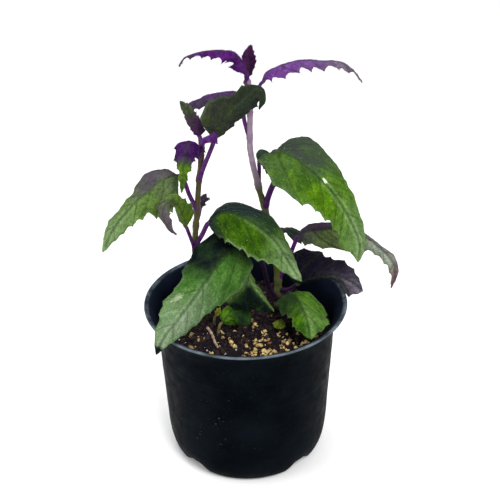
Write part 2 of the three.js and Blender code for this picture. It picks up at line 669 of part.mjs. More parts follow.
function show(name, solid, color, roughness, metalness = 0) {
  const material = new THREE.MeshStandardMaterial({ color, roughness, metalness });
  const mesh = new THREE.Mesh(toGeometry(solid), material);
  mesh.name = name;
  group.add(mesh);
}

const joinsOf = (side) => Object.values(LEAVES)
  .filter((leaf) => leaf.stem === side)
  .map((leaf) => leaf.join);

show("pot", pot(), 0x10161b, 0.4);

const stemClearance = {};
for (const [side, stem] of Object.entries(STEMS)) {
  const joins = joinsOf(side);
  stemClearance[side] = stemBody(stem, joins, GAP);
  show(`${side}_stem`, stemBody(stem, joins), side === "left" ? 0x6f6a45 : 0x8b6f82, 0.7);
}

for (const [name, leaf] of Object.entries(LEAVES)) {
  const start = placeAtHeight(stemCurve(STEMS[leaf.stem]), leaf.join);
  const body = largestOf(leafBody(leaf, start).subtract(stemClearance[leaf.stem]));
  show(name, body, leaf.colour, 0.6);
}

let soil = soilBits().reduce((whole, bit) => whole.add(bit), soilBody());
for (const clearance of Object.values(stemClearance)) soil = soil.subtract(clearance);
for (const sprout of Object.values(SPROUTS)) soil = soil.subtract(sproutBody(sprout, GAP));
soil = soil.subtract(twigBody(GAP));
show("soil", soil, 0x2a1f24, 0.95);

for (const [name, sprout] of Object.entries(SPROUTS)) {
  show(name, sproutBody(sprout), sprout.colour, 0.6);
}
show("twig", twigBody(), 0xa08c74, 0.85);

export default group;
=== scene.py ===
"""Looks of the potted velvet plant: fine leaves with veins and hairs, stems, soil, pot and light."""
import math

import bmesh
import bpy
import numpy as np
from mathutils import Matrix, Vector


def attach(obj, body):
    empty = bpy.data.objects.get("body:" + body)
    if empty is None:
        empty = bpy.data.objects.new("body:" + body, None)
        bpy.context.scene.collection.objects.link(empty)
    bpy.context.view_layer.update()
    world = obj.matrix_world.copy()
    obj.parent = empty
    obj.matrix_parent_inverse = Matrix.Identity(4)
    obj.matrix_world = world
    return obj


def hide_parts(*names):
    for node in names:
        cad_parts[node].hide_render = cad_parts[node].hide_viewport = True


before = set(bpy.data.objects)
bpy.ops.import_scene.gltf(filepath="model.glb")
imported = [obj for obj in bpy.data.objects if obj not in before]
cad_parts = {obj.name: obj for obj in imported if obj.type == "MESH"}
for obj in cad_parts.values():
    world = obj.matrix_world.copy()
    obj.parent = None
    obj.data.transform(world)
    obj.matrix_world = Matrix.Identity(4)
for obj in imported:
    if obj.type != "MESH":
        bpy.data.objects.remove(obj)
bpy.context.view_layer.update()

# Sizes and places are in millimetres; to_metres turns them into the frame's metres.
to_metres = 0.001

POT_SIDES = 192
POT_OUTER = [
    (40.3, 0), (43.6, 1.9), (46.3, 6.4), (48, 12.5), (49, 20), (52.9, 89),
    (54.2, 95), (57, 98.8), (60, 100.7),
]
POT_INNER = [
    (59.6, 102), (55.8, 99.8), (53, 95.6), (51.6, 89),
    (47.7, 20), (46.8, 13.2), (45, 7.4), (42.6, 3.4), (39.8, 1.5),
]
NOTCH = dict(count=4, first=45, half=9, flank=5, height=4, inner=27, outer=33)
NOTCH_FADES_BY = 14
DRAIN_HOLE = dict(radius=3.5, at=38, sides=32)

GAP = 0.3
SOIL_LEVEL = 84
SOIL_SWELL = 1.1
SOIL_RINGS = 52
SOIL_SIDES = 180
SOIL_BITS = dict(count=46, smallest=1.1, largest=2.1, seed=11, within=45)
CRUMBS = dict(count=1500, within=49.5)

STEMS = {
    "left": dict(
        route=[
            (-24, 11, 56), (-24, 11, 84), (-27, 8, 110), (-29, 7, 135), (-27, 5, 160),
            (-25, 4, 181), (-23, 3, 198), (-23, 3, 205),
        ],
        foot=2.1, top=1.3,
    ),
    "right": dict(
        route=[
            (20, 21, 56), (20, 21, 84), (19, 19, 115), (13, 17, 150), (9, 15, 167), (4, 13, 193),
            (4, 12, 216), (3, 11, 236),
        ],
        foot=2.3, top=1.4,
    ),
}
NODE_SWELLING = 0.35

TOOTH_CREST = 0.7
TIP_HALF_WIDTH = 0.35
EDGE_LEAN = 0.35
LOBE_FADES = 0.3
ROUND_BASE = 0.1
CREASE_RADIUS = 0.8
BLADE_THICKNESS = 0.55
EDGE_THICKNESS = 0.28
# Where the rows of a tooth lie, from 0 to 1, on large blades and on small ones.
FINE_PARTS = (0, 0.09, 0.18, 0.24, 0.29, 0.34, 0.39, 0.44, 0.54, 0.63, 0.67, 0.7, 0.73, 0.77,
              0.84, 0.92)
COARSE_PARTS = (0, 0.12, 0.24, 0.34, 0.44, 0.58, 0.65, 0.7, 0.75, 0.86)
COLUMN_WIDTH = 0.62
# Side veins: how far forward they lean, how they curve, and how wide they are at the midrib.
VEIN_SLANT = 1.05
VEIN_CURVE = 1.25
VEIN_WIDTH = 0.7
# How far the blade swells between the veins.
PILLOW = 0.6
STALK_SIDES = 12
# Order of a leaf's materials.
BLADE, STALK, HAIR, DROP = range(4)

# Leaves by their stem and the height where they join it. route runs from there to the tip, and
# base is its place where the blade starts. left and right are half widths, face is the way the
# blade looks, and fold, tooth, lobe and tip_fold are for its left and its right half.
USUAL_LEAF = dict(base=1, curl=15, waves=2)
LEAVES = {
    "leaf_right_large": dict(
        stem="right", join=155,
        route=[(15, 13, 167), (19, 10, 180), (17, 8, 192), (19, 6, 196), (28, 1, 194), (36, -3, 189),
               (45, -8, 182), (54, -12, 171), (61, -14, 158), (65, -15, 146), (64, -15, 136)],
        base=3, left=[28, 26, 17, 14, 9], right=[15, 24, 16, 12, 11], face=[0.1, -0.52, 0.8],
        tip_face=[0.4, -0.85, 0.3], fold=[22, -30], tip_fold=[30, 30], curl=14, wave=1.6, waves=2.4,
        teeth=9, tooth=[0.9, 2.8], lobe=[0.3, 1], petiole=1.8,
    ),
    "leaf_right_rear_arched": dict(
        stem="right", join=104,
        route=[(25, 17, 116), (29, 15, 130), (32, 13, 138), (38, 11, 142), (50, 9, 144), (61, 7, 144),
               (71, 5, 140), (79, 3, 134), (86, 2, 126), (88, 1, 117), (86, 0, 109)],
        base=2, left=[6, 7, 4, 2, 4], right=[9, 13, 15, 6, 5], face=[-0.1, -0.6, 0.8],
        tip_face=[0.4, -0.9, 0.1], fold=[28, 34], tip_fold=[24, 24], curl=18, wave=1.2, waves=2.2,
        teeth=9, tooth=[0.8, 2.8], lobe=[0.8, 0.8], petiole=1.3,
    ),
    "leaf_right_dark_low": dict(
        stem="right", join=96,
        route=[(26, 16, 99), (31, 12, 105), (38, 9, 110), (45, 6, 114), (52, 4, 116), (58, 2, 115),
               (64, 0, 112), (69, -2, 108)],
        left=[20, 20, 12, 10, 6], right=[4, 4, 6, 11, 11], face=[-0.3, -0.8, 0.45],
        tip_face=[0.2, -0.85, 0.5], fold=[5, 80], tip_fold=[20, 30], curl=10, wave=1.2, teeth=8,
        tooth=[1.8, 2], lobe=[0.8, 0.8], petiole=1.2,
    ),
    "leaf_right_front_low": dict(
        stem="right", join=89,
        route=[(23, 13, 95), (27, 6, 103), (31, -4, 104), (33, -14, 104), (35, -24, 104),
               (36, -32, 102), (37, -37, 98)],
        left=[9, 17, 17, 15, 8], right=[9, 14, 11, 10, 7], face=[0.1, -0.3, 0.95],
        tip_face=[0.1, -0.6, 0.8], fold=[18, 18], wave=1.6, teeth=6, tooth=[1.8, 2], lobe=[0.8, 0.8],
        petiole=1.2,
    ),
    "leaf_right_upper_left": dict(
        stem="right", join=202,
        route=[(1, 14, 210), (0, 15, 218), (-2, 16, 226), (-9, 15, 227), (-17, 13, 226),
               (-24, 12, 224), (-29, 11, 222), (-28, 10, 217)],
        base=2, left=[6, 7, 6, 6, 4], right=[6, 7, 8, 6, 4], face=[0, -0.2, 1],
        tip_face=[-0.7, -0.3, 0.6], fold=[25, 20], curl=20, wave=0.8, teeth=7, tooth=[1.4, 1],
        lobe=[0.4, 0.4], petiole=1.2,
    ),
    "leaf_right_tucked": dict(
        stem="right", join=170,
        route=[(9, 18, 178), (9, 18, 184), (12, 19, 187), (15, 20, 183), (17, 20, 177), (18, 20, 171)],
        left=[4, 6, 6, 5, 3], right=[4, 6, 6, 5, 3], face=[0.1, -0.6, 0.8], tip_face=[0.5, -0.7, 0.4],
        fold=[20, 20], wave=0.6, teeth=4, tooth=[1.2, 1.2], lobe=[0.3, 0.3], petiole=1.1,
    ),
    "leaf_right_top_left": dict(
        stem="right", join=226,
        route=[(2, 9, 235), (2, 8, 242), (-1, 7, 250), (-5, 6, 254), (-11, 5, 255), (-17, 5, 255),
               (-22, 3, 255), (-27, 2, 254), (-31, 1, 252), (-33, 1, 248)],
        base=0, left=[5, 8, 8, 5, 3], right=[2, 3, 4, 3, 2], face=[0, -0.3, 1],
        tip_face=[-0.5, -0.3, 0.8], fold=[42, 42], curl=25, wave=0.5, waves=3, teeth=8,
        tooth=[3.2, 0.6], lobe=[0.2, 0.2], petiole=0.9,
    ),
    "leaf_right_bud": dict(
        stem="right", join=234,
        route=[(3, 13, 237), (4, 14, 240), (4, 14, 245), (4, 14, 250), (5, 14, 255)], base=0,
        left=[2, 3, 5, 5, 3], right=[2, 3, 5, 5, 3], face=[0, -1, 0.1], tip_face=[0, -1, 0.1],
        fold=[-28, -28], curl=-20, wave=0.4, waves=3, teeth=6, tooth=[0.6, 1], lobe=[0, 0], petiole=0.9,
    ),
    "leaf_right_top_right": dict(
        stem="right", join=218,
        route=[(9, 12, 231), (11, 12, 235), (13, 11, 240), (20, 10, 244), (29, 9, 247), (36, 8, 248),
               (44, 6, 248), (52, 5, 248), (58, 4, 245), (62, 3, 241), (64, 2, 237)],
        left=[5, 6, 5, 3, 2], right=[6, 8, 7, 6, 4], face=[0, -0.3, 1], tip_face=[0.6, -0.3, 0.7],
        fold=[40, 40], curl=25, wave=0.5, waves=3, teeth=8, tooth=[0.6, 2.8], lobe=[0.2, 0.2],
        petiole=1,
    ),
    "leaf_right_back": dict(
        stem="right", join=122,
        route=[(19, 26, 131), (24, 33, 131), (29, 40, 128), (34, 46, 123), (38, 51, 116),
               (40, 54, 109)],
        left=[8, 11, 11, 9, 5], right=[8, 11, 11, 9, 5], face=[0.2, 0, 1], tip_face=[0.5, 0.6, 0.6],
        fold=[20, 20], curl=20, wave=1.2, teeth=7, tooth=[1.8, 1.8], lobe=[0.6, 0.6], petiole=1.1,
    ),
    "leaf_right_over_rim": dict(
        stem="right", join=87,
        route=[(14, 12, 104), (10, 6, 124), (3, 0, 138), (-3, -6, 142), (-13, -15, 137),
               (-22, -24, 130), (-29, -32, 123), (-37, -41, 116), (-45, -47, 108), (-50, -49, 98)],
        base=3, left=[13, 22, 16, 12, 8], right=[17, 19, 14, 14, 8], face=[0.1, -0.75, 0.65],
        tip_face=[0, -0.9, 0.4], fold=[26, 16], curl=14, wave=1.6, waves=2.4, teeth=8, tooth=[1.8, 1.8],
        lobe=[0.8, 0.8], petiole=1.5,
    ),
    "leaf_left_under": dict(
        stem="left", join=112,
        route=[(-17, 4, 128), (-7, -1, 131), (-3, -4, 128), (1, -7, 123), (4, -10, 117),
               (10, -13, 110), (16, -15, 103)],
        left=[6, 8, 7, 7, 4], right=[8, 15, 20, 14, 7], face=[0.3, -0.75, 0.6],
        tip_face=[0.3, -0.75, 0.6], fold=[40, 30], wave=1, teeth=7, tooth=[1.8, 1.8], lobe=[0.4, 0.4],
        petiole=1.2,
    ),
    "leaf_left_central": dict(
        stem="left", join=136,
        route=[(-25, 3, 144), (-20, -2, 156), (-12, -8, 165), (-3, -14, 166), (7, -20, 163),
               (17, -26, 156), (24, -31, 146), (31, -34, 135)],
        left=[12, 16, 16, 12, 8], right=[9, 17, 19, 15, 8], face=[-0.1, -0.48, 0.86],
        tip_face=[0.5, -0.7, 0.5], fold=[26, 28], curl=18, wave=1.6, waves=2.4, teeth=8, tooth=[1.2, 2],
        lobe=[0.9, 0.9], petiole=1.4,
    ),
    "leaf_left_outer": dict(
        stem="left", join=160,
        route=[(-31, 3, 171), (-33, 0, 180), (-36, -3, 186), (-45, -7, 185), (-53, -11, 180),
               (-63, -15, 172), (-73, -18, 160), (-79, -19, 147)],
        base=2, left=[8, 18, 12, 8, 5], right=[1, 13, 7, 7, 6], face=[-0.1, -0.66, 0.7],
        tip_face=[-0.4, -0.8, 0.4], fold=[24, 22], curl=14, wave=1.6, waves=2.2, teeth=8,
        tooth=[3, 0.7], lobe=[0.3, 0.6], petiole=1.3,
    ),
    "leaf_left_curled": dict(
        stem="left", join=132,
        route=[(-31, 3, 142), (-33, -5, 155), (-35, -14, 170), (-39, -21, 179), (-43, -25, 178),
               (-44, -27, 173), (-42, -27, 168), (-40, -27, 164), (-37, -27, 162)],
        left=[4, 5, 5, 5, 4], right=[11, 9, 6, 5, 4], face=[0.45, -0.75, 0.4],
        tip_face=[-0.7, -0.6, 0.1], fold=[60, 5], tip_fold=[20, 20], wave=0.8, teeth=7,
        tooth=[1.8, 1.8], lobe=[0.4, 0.4], petiole=1.1,
    ),
    "leaf_left_small_rear": dict(
        stem="left", join=150, route=[(-26, 9, 155), (-25, 11, 159), (-23, 13, 164), (-20, 14, 162)],
        left=[2, 3, 4, 3, 2], right=[2, 3, 4, 3, 2], face=[-0.3, -0.7, 0.6], tip_face=[-0.3, -0.7, 0.6],
        fold=[20, 20], wave=0.6, teeth=4, tooth=[1.8, 2], lobe=[0.4, 0.4], petiole=0.9,
    ),
    "leaf_left_hooded": dict(
        stem="left", join=194,
        route=[(-26, 0, 203), (-28, -5, 207), (-31, -10, 205), (-32, -14, 199), (-33, -16, 191),
               (-34, -16, 182)],
        base=0, left=[8, 10, 7, 5, 3], right=[8, 9, 8, 5, 3], face=[-0.1, -0.5, 0.9],
        tip_face=[0, -1, 0], fold=[12, 26], tip_fold=[30, 30], curl=10, wave=0.8, teeth=6,
        tooth=[2, 2.4], lobe=[0.4, 0.4], petiole=1.1,
    ),
    "leaf_left_top_right": dict(
        stem="left", join=199, route=[(-22, -2, 207), (-19, -7, 211), (-16, -9, 212), (-14, -10, 208)],
        base=0, left=[3, 5, 5, 4, 3], right=[5, 7, 7, 5, 3], face=[0, -0.4, 0.9],
        tip_face=[0.6, -0.5, 0.5], fold=[20, 20], wave=0.4, teeth=4, tooth=[1, 1.2], lobe=[0.2, 0.2],
        petiole=0.9,
    ),
    "leaf_left_bud": dict(
        stem="left", join=203,
        route=[(-24, 5, 206), (-25, 5, 210), (-28, 6, 215), (-30, 7, 220), (-34, 7, 226)], base=0,
        left=[3, 4, 4, 4, 3], right=[4, 5, 5, 4, 3], face=[0.3, -0.95, 0.1], tip_face=[0.4, -0.9, 0.2],
        fold=[-22, -22], curl=-12, wave=0.5, waves=3, teeth=7, tooth=[0.8, 0.8], lobe=[0, 0], petiole=1,
    ),
    "leaf_left_upper_right": dict(
        stem="left", join=180,
        route=[(-21, 0, 192), (-17, -3, 203), (-15, -4, 209), (-10, -5, 217), (-3, -7, 226),
               (3, -8, 232), (8, -9, 237), (11, -10, 233), (9, -11, 228)],
        base=2, left=[11, 15, 9, 9, 3], right=[4, 6, 7, 7, 5], face=[-0.25, -0.95, 0.15],
        tip_face=[-0.2, -0.8, 0.5], fold=[0, 34], tip_fold=[24, 34], curl=14, wave=1.2, teeth=8,
        tooth=[1, 2.2], lobe=[0.3, 0.3], petiole=1.3,
    ),
}

SPROUTS = {
    "seedling": dict(
        join=1, foot=(-17, -11), petiole=0.9,
        route=[(-16, -11, 89), (-14, -10, 93), (-9, -10, 98), (-3, -11, 98), (2, -13, 93)],
        left=[5, 7, 8, 8, 6], right=[5, 8, 10, 9, 6], face=[0, -0.6, 0.8], tip_face=[0.3, -0.8, 0.5],
        fold=[20, 25], curl=20, wave=0.5, teeth=4, tooth=[0.8, 0.8], lobe=[0.2, 0.2],
    ),
    "forked_shoot": dict(
        join=2, foot=(-19, 0), petiole=0.9,
        route=[(-19, 0, 88), (-18, 0, 91), (-16, -1, 95), (-15, -2, 98)], left=[1, 2, 2, 2, 1],
        right=[1, 2, 2, 2, 1], face=[-0.5, -0.8, 0.3], tip_face=[-0.5, -0.8, 0.3], fold=[-20, -20],
        curl=0, wave=0, waves=1, teeth=3, tooth=[0.3, 0.3], lobe=[0, 0],
    ),
    "foot_tuft": dict(
        join=3, foot=(21, -1), petiole=0.9,
        route=[(21, -2, 87), (21, -4, 90), (20, -8, 91), (19, -12, 89)], left=[3, 4, 5, 4, 3],
        right=[3, 4, 5, 4, 3], face=[0, -0.3, 1], tip_face=[0, -0.6, 0.8], fold=[20, 20], curl=10,
        wave=0.4, teeth=4, tooth=[0.9, 0.9], lobe=[0.2, 0.2],
    ),
}

TWIG = dict(start=(-23, -6, 86), end=(-16, -27, 86), radius=0.9)

# How each leaf is coloured. Weights are for the left half at its base and tip and the right half
# at its base and tip. The dusky weight (dusk) is partly the leaf's own dusky purple and partly
# painted shade and painted sheen, where a blade faces away, lies in a crease or lies under other
# leaves. pale is a painted highlight, the grey green of lit parts, and violet the young violet.
# A turn is the part of the blade, from 0 to 1, over which a weight changes from base to tip, for
# both halves or for the left and then the right one. rim and flank are how much of that painted
# highlight lies on the edge and on the strips beside the midrib, dark_end is painted shade on the
# tip, and hair is how hairy the blade is. scar is a pale spot: its place along and across the
# blade, its size and its strength.
NONE = (0, 0, 0, 0)
TURN = (0.05, 0.75)
USUAL_LOOK = dict(
    slot="velvet_green", stalk="violet", pale=NONE, violet=NONE, dusk_turn=TURN, pale_turn=TURN,
    violet_turn=TURN, pale_colour=(106, 130, 88), violet_colour=(48, 12, 64),
    violet_glow=(84, 32, 110), rim=0.4, flank=0.35, dark_end=0, hair=0.3, dew=0,
)
LOOKS = {
    "leaf_right_large": dict(
        green=(46, 80, 2), glow=(78, 116, 12), shade_and_bloom_colour=(48, 56, 50), dusk=(1, 0, 0.45, 0),
        dusk_turn=(0.1, 0.45), pale=(0.1, 0.85, 0, 0.6), pale_turn=(0.45, 0.95), hair=0.25, dew=50,
        scar=(0.37, -0.08, 1.8, 1), flank=0.6,
    ),
    "leaf_right_rear_arched": dict(
        slot="velvet_plum", green=(74, 94, 42), glow=(112, 136, 58), shade_and_bloom_colour=(60, 50, 72),
        dusk=(1, 0.5, 0.8, 0.2), dusk_turn=(0.05, 0.75, 0.04, 0.22), pale=(0, 0.7, 0.1, 0.9),
        pale_turn=(0.4, 0.65), violet=(0.1, 0.8, 0, 0.8), violet_turn=(0.74, 0.95),
        violet_colour=(78, 34, 52), violet_glow=(104, 58, 76), hair=0.5, pale_colour=(136, 144, 130),
    ),
    # leaf_right_dark_low: its near-black green, glow and dark stalk are painted shade from the leaves
    # over it.
    "leaf_right_dark_low": dict(
        slot="velvet_dark", green=(22, 26, 22), glow=(40, 50, 32), shade_and_bloom_colour=(11, 11, 23),
        dusk=(1, 0.5, 1, 0.2), pale=(0, 0.5, 0, 0.9), pale_turn=(0.45, 0.9),
        violet=(0.02, 0.15, 0.02, 0.1), hair=0.4, pale_colour=(112, 106, 116), stalk="dark",
    ),
    "leaf_right_front_low": dict(
        green=(44, 84, 6), glow=(80, 124, 8), shade_and_bloom_colour=(28, 44, 26), dusk=(0.05, 0, 0.9, 0.3),
        pale=(0.1, 0.35, 0, 0), hair=0.25, stalk="dark",
    ),
    "leaf_right_upper_left": dict(
        slot="velvet_violet", green=(40, 56, 24), glow=(56, 76, 30), shade_and_bloom_colour=(50, 40, 64),
        dusk=(0.3, 0.6, 0.6, 0.8), violet=(0.75, 0.4, 0.9, 0.6), hair=0.8,
    ),
    "leaf_right_tucked": dict(
        green=(26, 48, 12), glow=(44, 74, 20), shade_and_bloom_colour=(34, 34, 44), dusk=(0.8, 0.3, 0.8, 0.3),
        hair=0.4,
    ),
    "leaf_right_top_left": dict(
        slot="young_violet", green=(84, 70, 90), glow=(100, 86, 104), shade_and_bloom_colour=(72, 26, 60),
        dusk=(0.5, 0, 0.3, 0), violet=(1, 0.4, 1, 0.4), violet_turn=(0.72, 1), hair=1,
        violet_colour=(50, 10, 66), violet_glow=(84, 26, 108),
    ),
    "leaf_right_bud": dict(
        slot="young_violet", green=(40, 26, 40), glow=(60, 36, 60), shade_and_bloom_colour=(56, 12, 44),
        dusk=(0.7, 0.4, 0.7, 0.4), violet=(0.8, 0.9, 0.8, 0.9), hair=1, violet_colour=(44, 8, 44),
        violet_glow=(70, 18, 72),
    ),
    "leaf_right_top_right": dict(
        slot="young_violet", green=(84, 74, 88), glow=(112, 102, 114), shade_and_bloom_colour=(88, 50, 112),
        dusk=(0.9, 0.1, 0.9, 0.1), dusk_turn=(0.2, 0.9), violet=(0.6, 0, 0.6, 0), hair=0.7,
        violet_colour=(76, 36, 98), violet_glow=(112, 66, 138),
    ),
    "leaf_right_back": dict(
        green=(26, 42, 34), glow=(38, 56, 44), shade_and_bloom_colour=(24, 32, 40), dusk=(0.6, 0.3, 0.6, 0.3),
        pale=(0.1, 0.2, 0.1, 0.2), stalk="dark",
    ),
    "leaf_right_over_rim": dict(
        green=(48, 86, 28), glow=(72, 112, 44), shade_and_bloom_colour=(8, 16, 19), dusk=(1, 0, 1, 0),
        dusk_turn=(0.02, 0.14, 0.22, 0.46), pale=(0, 0.9, 0, 0.75), pale_turn=(0.2, 0.7, 0.35, 0.8),
        hair=0.25, dew=20, scar=(0.54, 0.6, 4, 0.25), dark_end=1, pale_colour=(114, 130, 104),
        stalk="dark",
    ),
    "leaf_left_under": dict(
        green=(62, 94, 30), glow=(108, 146, 64), shade_and_bloom_colour=(8, 20, 16), dusk=(0, 0.1, 0, 1),
        dusk_turn=(0.3, 0.9, 0.36, 0.52), flank=0.8, pale=(0.2, 0.2, 0.2, 0), stalk="dark",
    ),
    "leaf_left_central": dict(
        green=(34, 62, 3), glow=(60, 95, 6), shade_and_bloom_colour=(24, 36, 38), dusk=(1, 0.15, 1, 0),
        dusk_turn=(0.25, 0.75, 0.03, 0.2), pale=(0, 0.95, 0, 0.9), pale_turn=(0.5, 0.95), rim=0.8,
        dew=70,
    ),
    "leaf_left_outer": dict(
        green=(68, 92, 38), glow=(92, 118, 56), shade_and_bloom_colour=(66, 60, 68), dusk=(0.4, 0, 1, 0.1),
        dusk_turn=(0.1, 0.4, 0.2, 0.55), pale=(0, 0.9, 0, 0.8), pale_turn=(0.35, 0.9),
    ),
    "leaf_left_curled": dict(
        slot="velvet_plum", green=(62, 92, 4), glow=(90, 122, 8), shade_and_bloom_colour=(74, 62, 72),
        dusk=(0.3, 0.95, 0.1, 0.95), dusk_turn=(0.5, 0.75), pale=(0, 0.1, 0, 0.1),
        violet=(0, 0.15, 0, 0.15), hair=0.4,
    ),
    "leaf_left_small_rear": dict(
        slot="velvet_violet", green=(30, 26, 34), glow=(44, 36, 50), shade_and_bloom_colour=(32, 20, 38),
        dusk=(0.8, 0.8, 0.8, 0.8), violet=(0.2, 0.2, 0.2, 0.2), hair=0.6,
    ),
    "leaf_left_hooded": dict(
        slot="velvet_violet", green=(54, 84, 8), glow=(84, 118, 18), shade_and_bloom_colour=(44, 38, 46),
        dusk=(0.5, 0, 0.5, 0.1), dusk_turn=(0.5, 0.64), violet=(1, 0, 1, 0), violet_turn=(0.4, 0.6),
        hair=0.7, violet_colour=(34, 8, 48), violet_glow=(60, 22, 80),
    ),
    "leaf_left_top_right": dict(
        slot="young_violet", green=(60, 30, 84), glow=(76, 40, 100), shade_and_bloom_colour=(56, 24, 76),
        dusk=(0.3, 0.3, 0.3, 0.3), violet=(1, 1, 1, 1), hair=0.9,
    ),
    "leaf_left_bud": dict(
        slot="velvet_violet", green=(50, 62, 34), glow=(70, 82, 48), shade_and_bloom_colour=(58, 14, 42),
        dusk=(0.8, 0, 0.8, 0), violet=(0.5, 0.05, 0.5, 0.05), hair=0.9,
    ),
    "leaf_left_upper_right": dict(
        green=(28, 38, 4), glow=(50, 64, 8), shade_and_bloom_colour=(24, 30, 28), dusk=(0.3, 0.8, 0.5, 0.9),
        violet=(0.1, 0, 0.1, 0), hair=0.5,
    ),
    "seedling": dict(
        slot="sprout_green", green=(44, 82, 16), glow=(80, 124, 26), shade_and_bloom_colour=(16, 30, 26),
        dusk=(0, 0.7, 0.1, 0.9), hair=0.2, stalk="green",
    ),
    "forked_shoot": dict(
        slot="sprout_green", green=(120, 140, 20), glow=(180, 184, 44), shade_and_bloom_colour=(96, 60, 80),
        dusk=(0.4, 0, 0.4, 0), hair=0.2, stalk="green",
    ),
    "foot_tuft": dict(
        slot="sprout_green", green=(70, 88, 18), glow=(112, 126, 34), shade_and_bloom_colour=(50, 60, 20),
        dusk=(0.2, 0.2, 0.3, 0.3), hair=0.2, stalk="green",
    ),
}


def draw(seed, count):
    """A number from 0 to 1 that is always the same for the same seed and count."""
    spread = math.sin(seed * 78.233 + count * 12.9898) * 43758.5453
    return spread - math.floor(spread)


def smooth(x, low=0.0, high=1.0):
    t = np.clip((np.asarray(x, float) - low) / (high - low), 0, 1)
    return t * t * (3 - 2 * t)


def bell(x):
    return np.exp(-(x**2))


def unit(v):
    return v / np.maximum(np.linalg.norm(v, axis=-1, keepdims=True), 1e-9)


def circle(sides):
    """The angles of so many places round a circle."""
    return np.linspace(0, 2 * math.pi, sides, endpoint=False)


def put(name, data):
    """A new object in the scene."""
    made = bpy.data.objects.new(name, data)
    bpy.context.scene.collection.objects.link(made)
    return made


def uneven(places, size, seed, waves=12):
    """A smooth random number between about -1 and 1 at each place, with swells of that size."""
    rng = np.random.RandomState(seed)
    along = unit(rng.normal(size=(waves, 3)))
    pitch = 2 * math.pi / (size * rng.uniform(0.7, 1.8, waves))
    phase = rng.uniform(0, 2 * math.pi, waves)
    swell = np.sin((np.asarray(places) @ along.T) * pitch + phase)
    return swell.sum(-1) / math.sqrt(waves)


class Curve:
    """The smooth curve through a route's places, measured along its length."""

    STEPS = 200

    def __init__(self, places):
        self.places = np.array(places, float)
        walked = self.at(np.linspace(0, 1, self.STEPS + 1))
        steps = np.linalg.norm(np.diff(walked, axis=0), axis=1)
        self.lengths = np.concatenate([[0], np.cumsum(steps)])
        self.total = self.lengths[-1]

    def at(self, t):
        t = np.atleast_1d(np.clip(t, 0, 1))
        last = len(self.places) - 1
        x = last * t
        i = np.minimum(np.floor(x).astype(int), last - 1)
        w = (x - i)[:, None]
        p = self.places
        p = np.vstack([2 * p[0] - p[1], p, 2 * p[-1] - p[-2]])
        before, here, after, later = p[i], p[i + 1], p[i + 2], p[i + 3]
        leave = 0.5 * (after - before)
        enter = 0.5 * (later - here)
        return (
            (2 * here - 2 * after + leave + enter) * w**3
            + (3 * after - 3 * here - 2 * leave - enter) * w**2
            + leave * w + here
        )

    def t_of(self, part):
        steps = np.linspace(0, 1, self.STEPS + 1)
        return np.interp(np.asarray(part, float) * self.total, self.lengths, steps)

    def point(self, part):
        return self.at(self.t_of(part))

    def tangent(self, part):
        t = self.t_of(part)
        return unit(self.at(t + 1e-4) - self.at(t - 1e-4))


def half_width(leaf, u, side):
    """Half the width of a blade to the crests of its teeth."""
    widths = leaf["left"] if side < 0 else leaf["right"]
    count = len(widths)
    at = np.minimum(u, 1) * count
    k = np.minimum(np.floor(at).astype(int), count - 1)
    t = at - k
    every = np.array([widths[0], *widths, 0, -2 * widths[-1]], float)
    before, here, after, later = every[k], every[k + 1], every[k + 2], every[k + 3]
    second = 2 * before - 5 * here + 4 * after - later
    third = 3 * (here - after) + later - before
    full = here + 0.5 * t * (after - before + t * (second + t * third))
    return np.maximum(full, 0) * np.sqrt(np.minimum(1, u / ROUND_BASE))


def tooth_edge(leaf, u, side):
    """Distance of the toothed edge from the midrib, with small teeth on the long flanks."""
    half = half_width(leaf, u, side)
    widest = max(leaf["left"] + leaf["right"])
    count = u * leaf["teeth"]
    which = np.floor(count + 1e-6).astype(int)
    part = np.maximum(count - which, 0)
    tooth = leaf["tooth"][0 if side < 0 else 1]
    depths = np.array([
        tooth * (0.55 + 0.7 * draw(leaf["join"] + side, i)) for i in range(leaf["teeth"] + 2)
    ])
    rise = np.clip(part / TOOTH_CREST, 0, 1)
    fall = np.clip((part - TOOTH_CREST) / (1 - TOOTH_CREST), 0, 1)
    depth = np.where(
        part < TOOTH_CREST,
        depths[which] * (1 - rise**1.8),
        depths[which + 1] * fall**0.55,
    )
    depth -= 0.1 * tooth * np.maximum(0, 1 - np.abs(part - 0.34) / 0.14)
    return np.maximum(half - depth * np.minimum(1, 1.6 * half / widest), TIP_HALF_WIDTH)


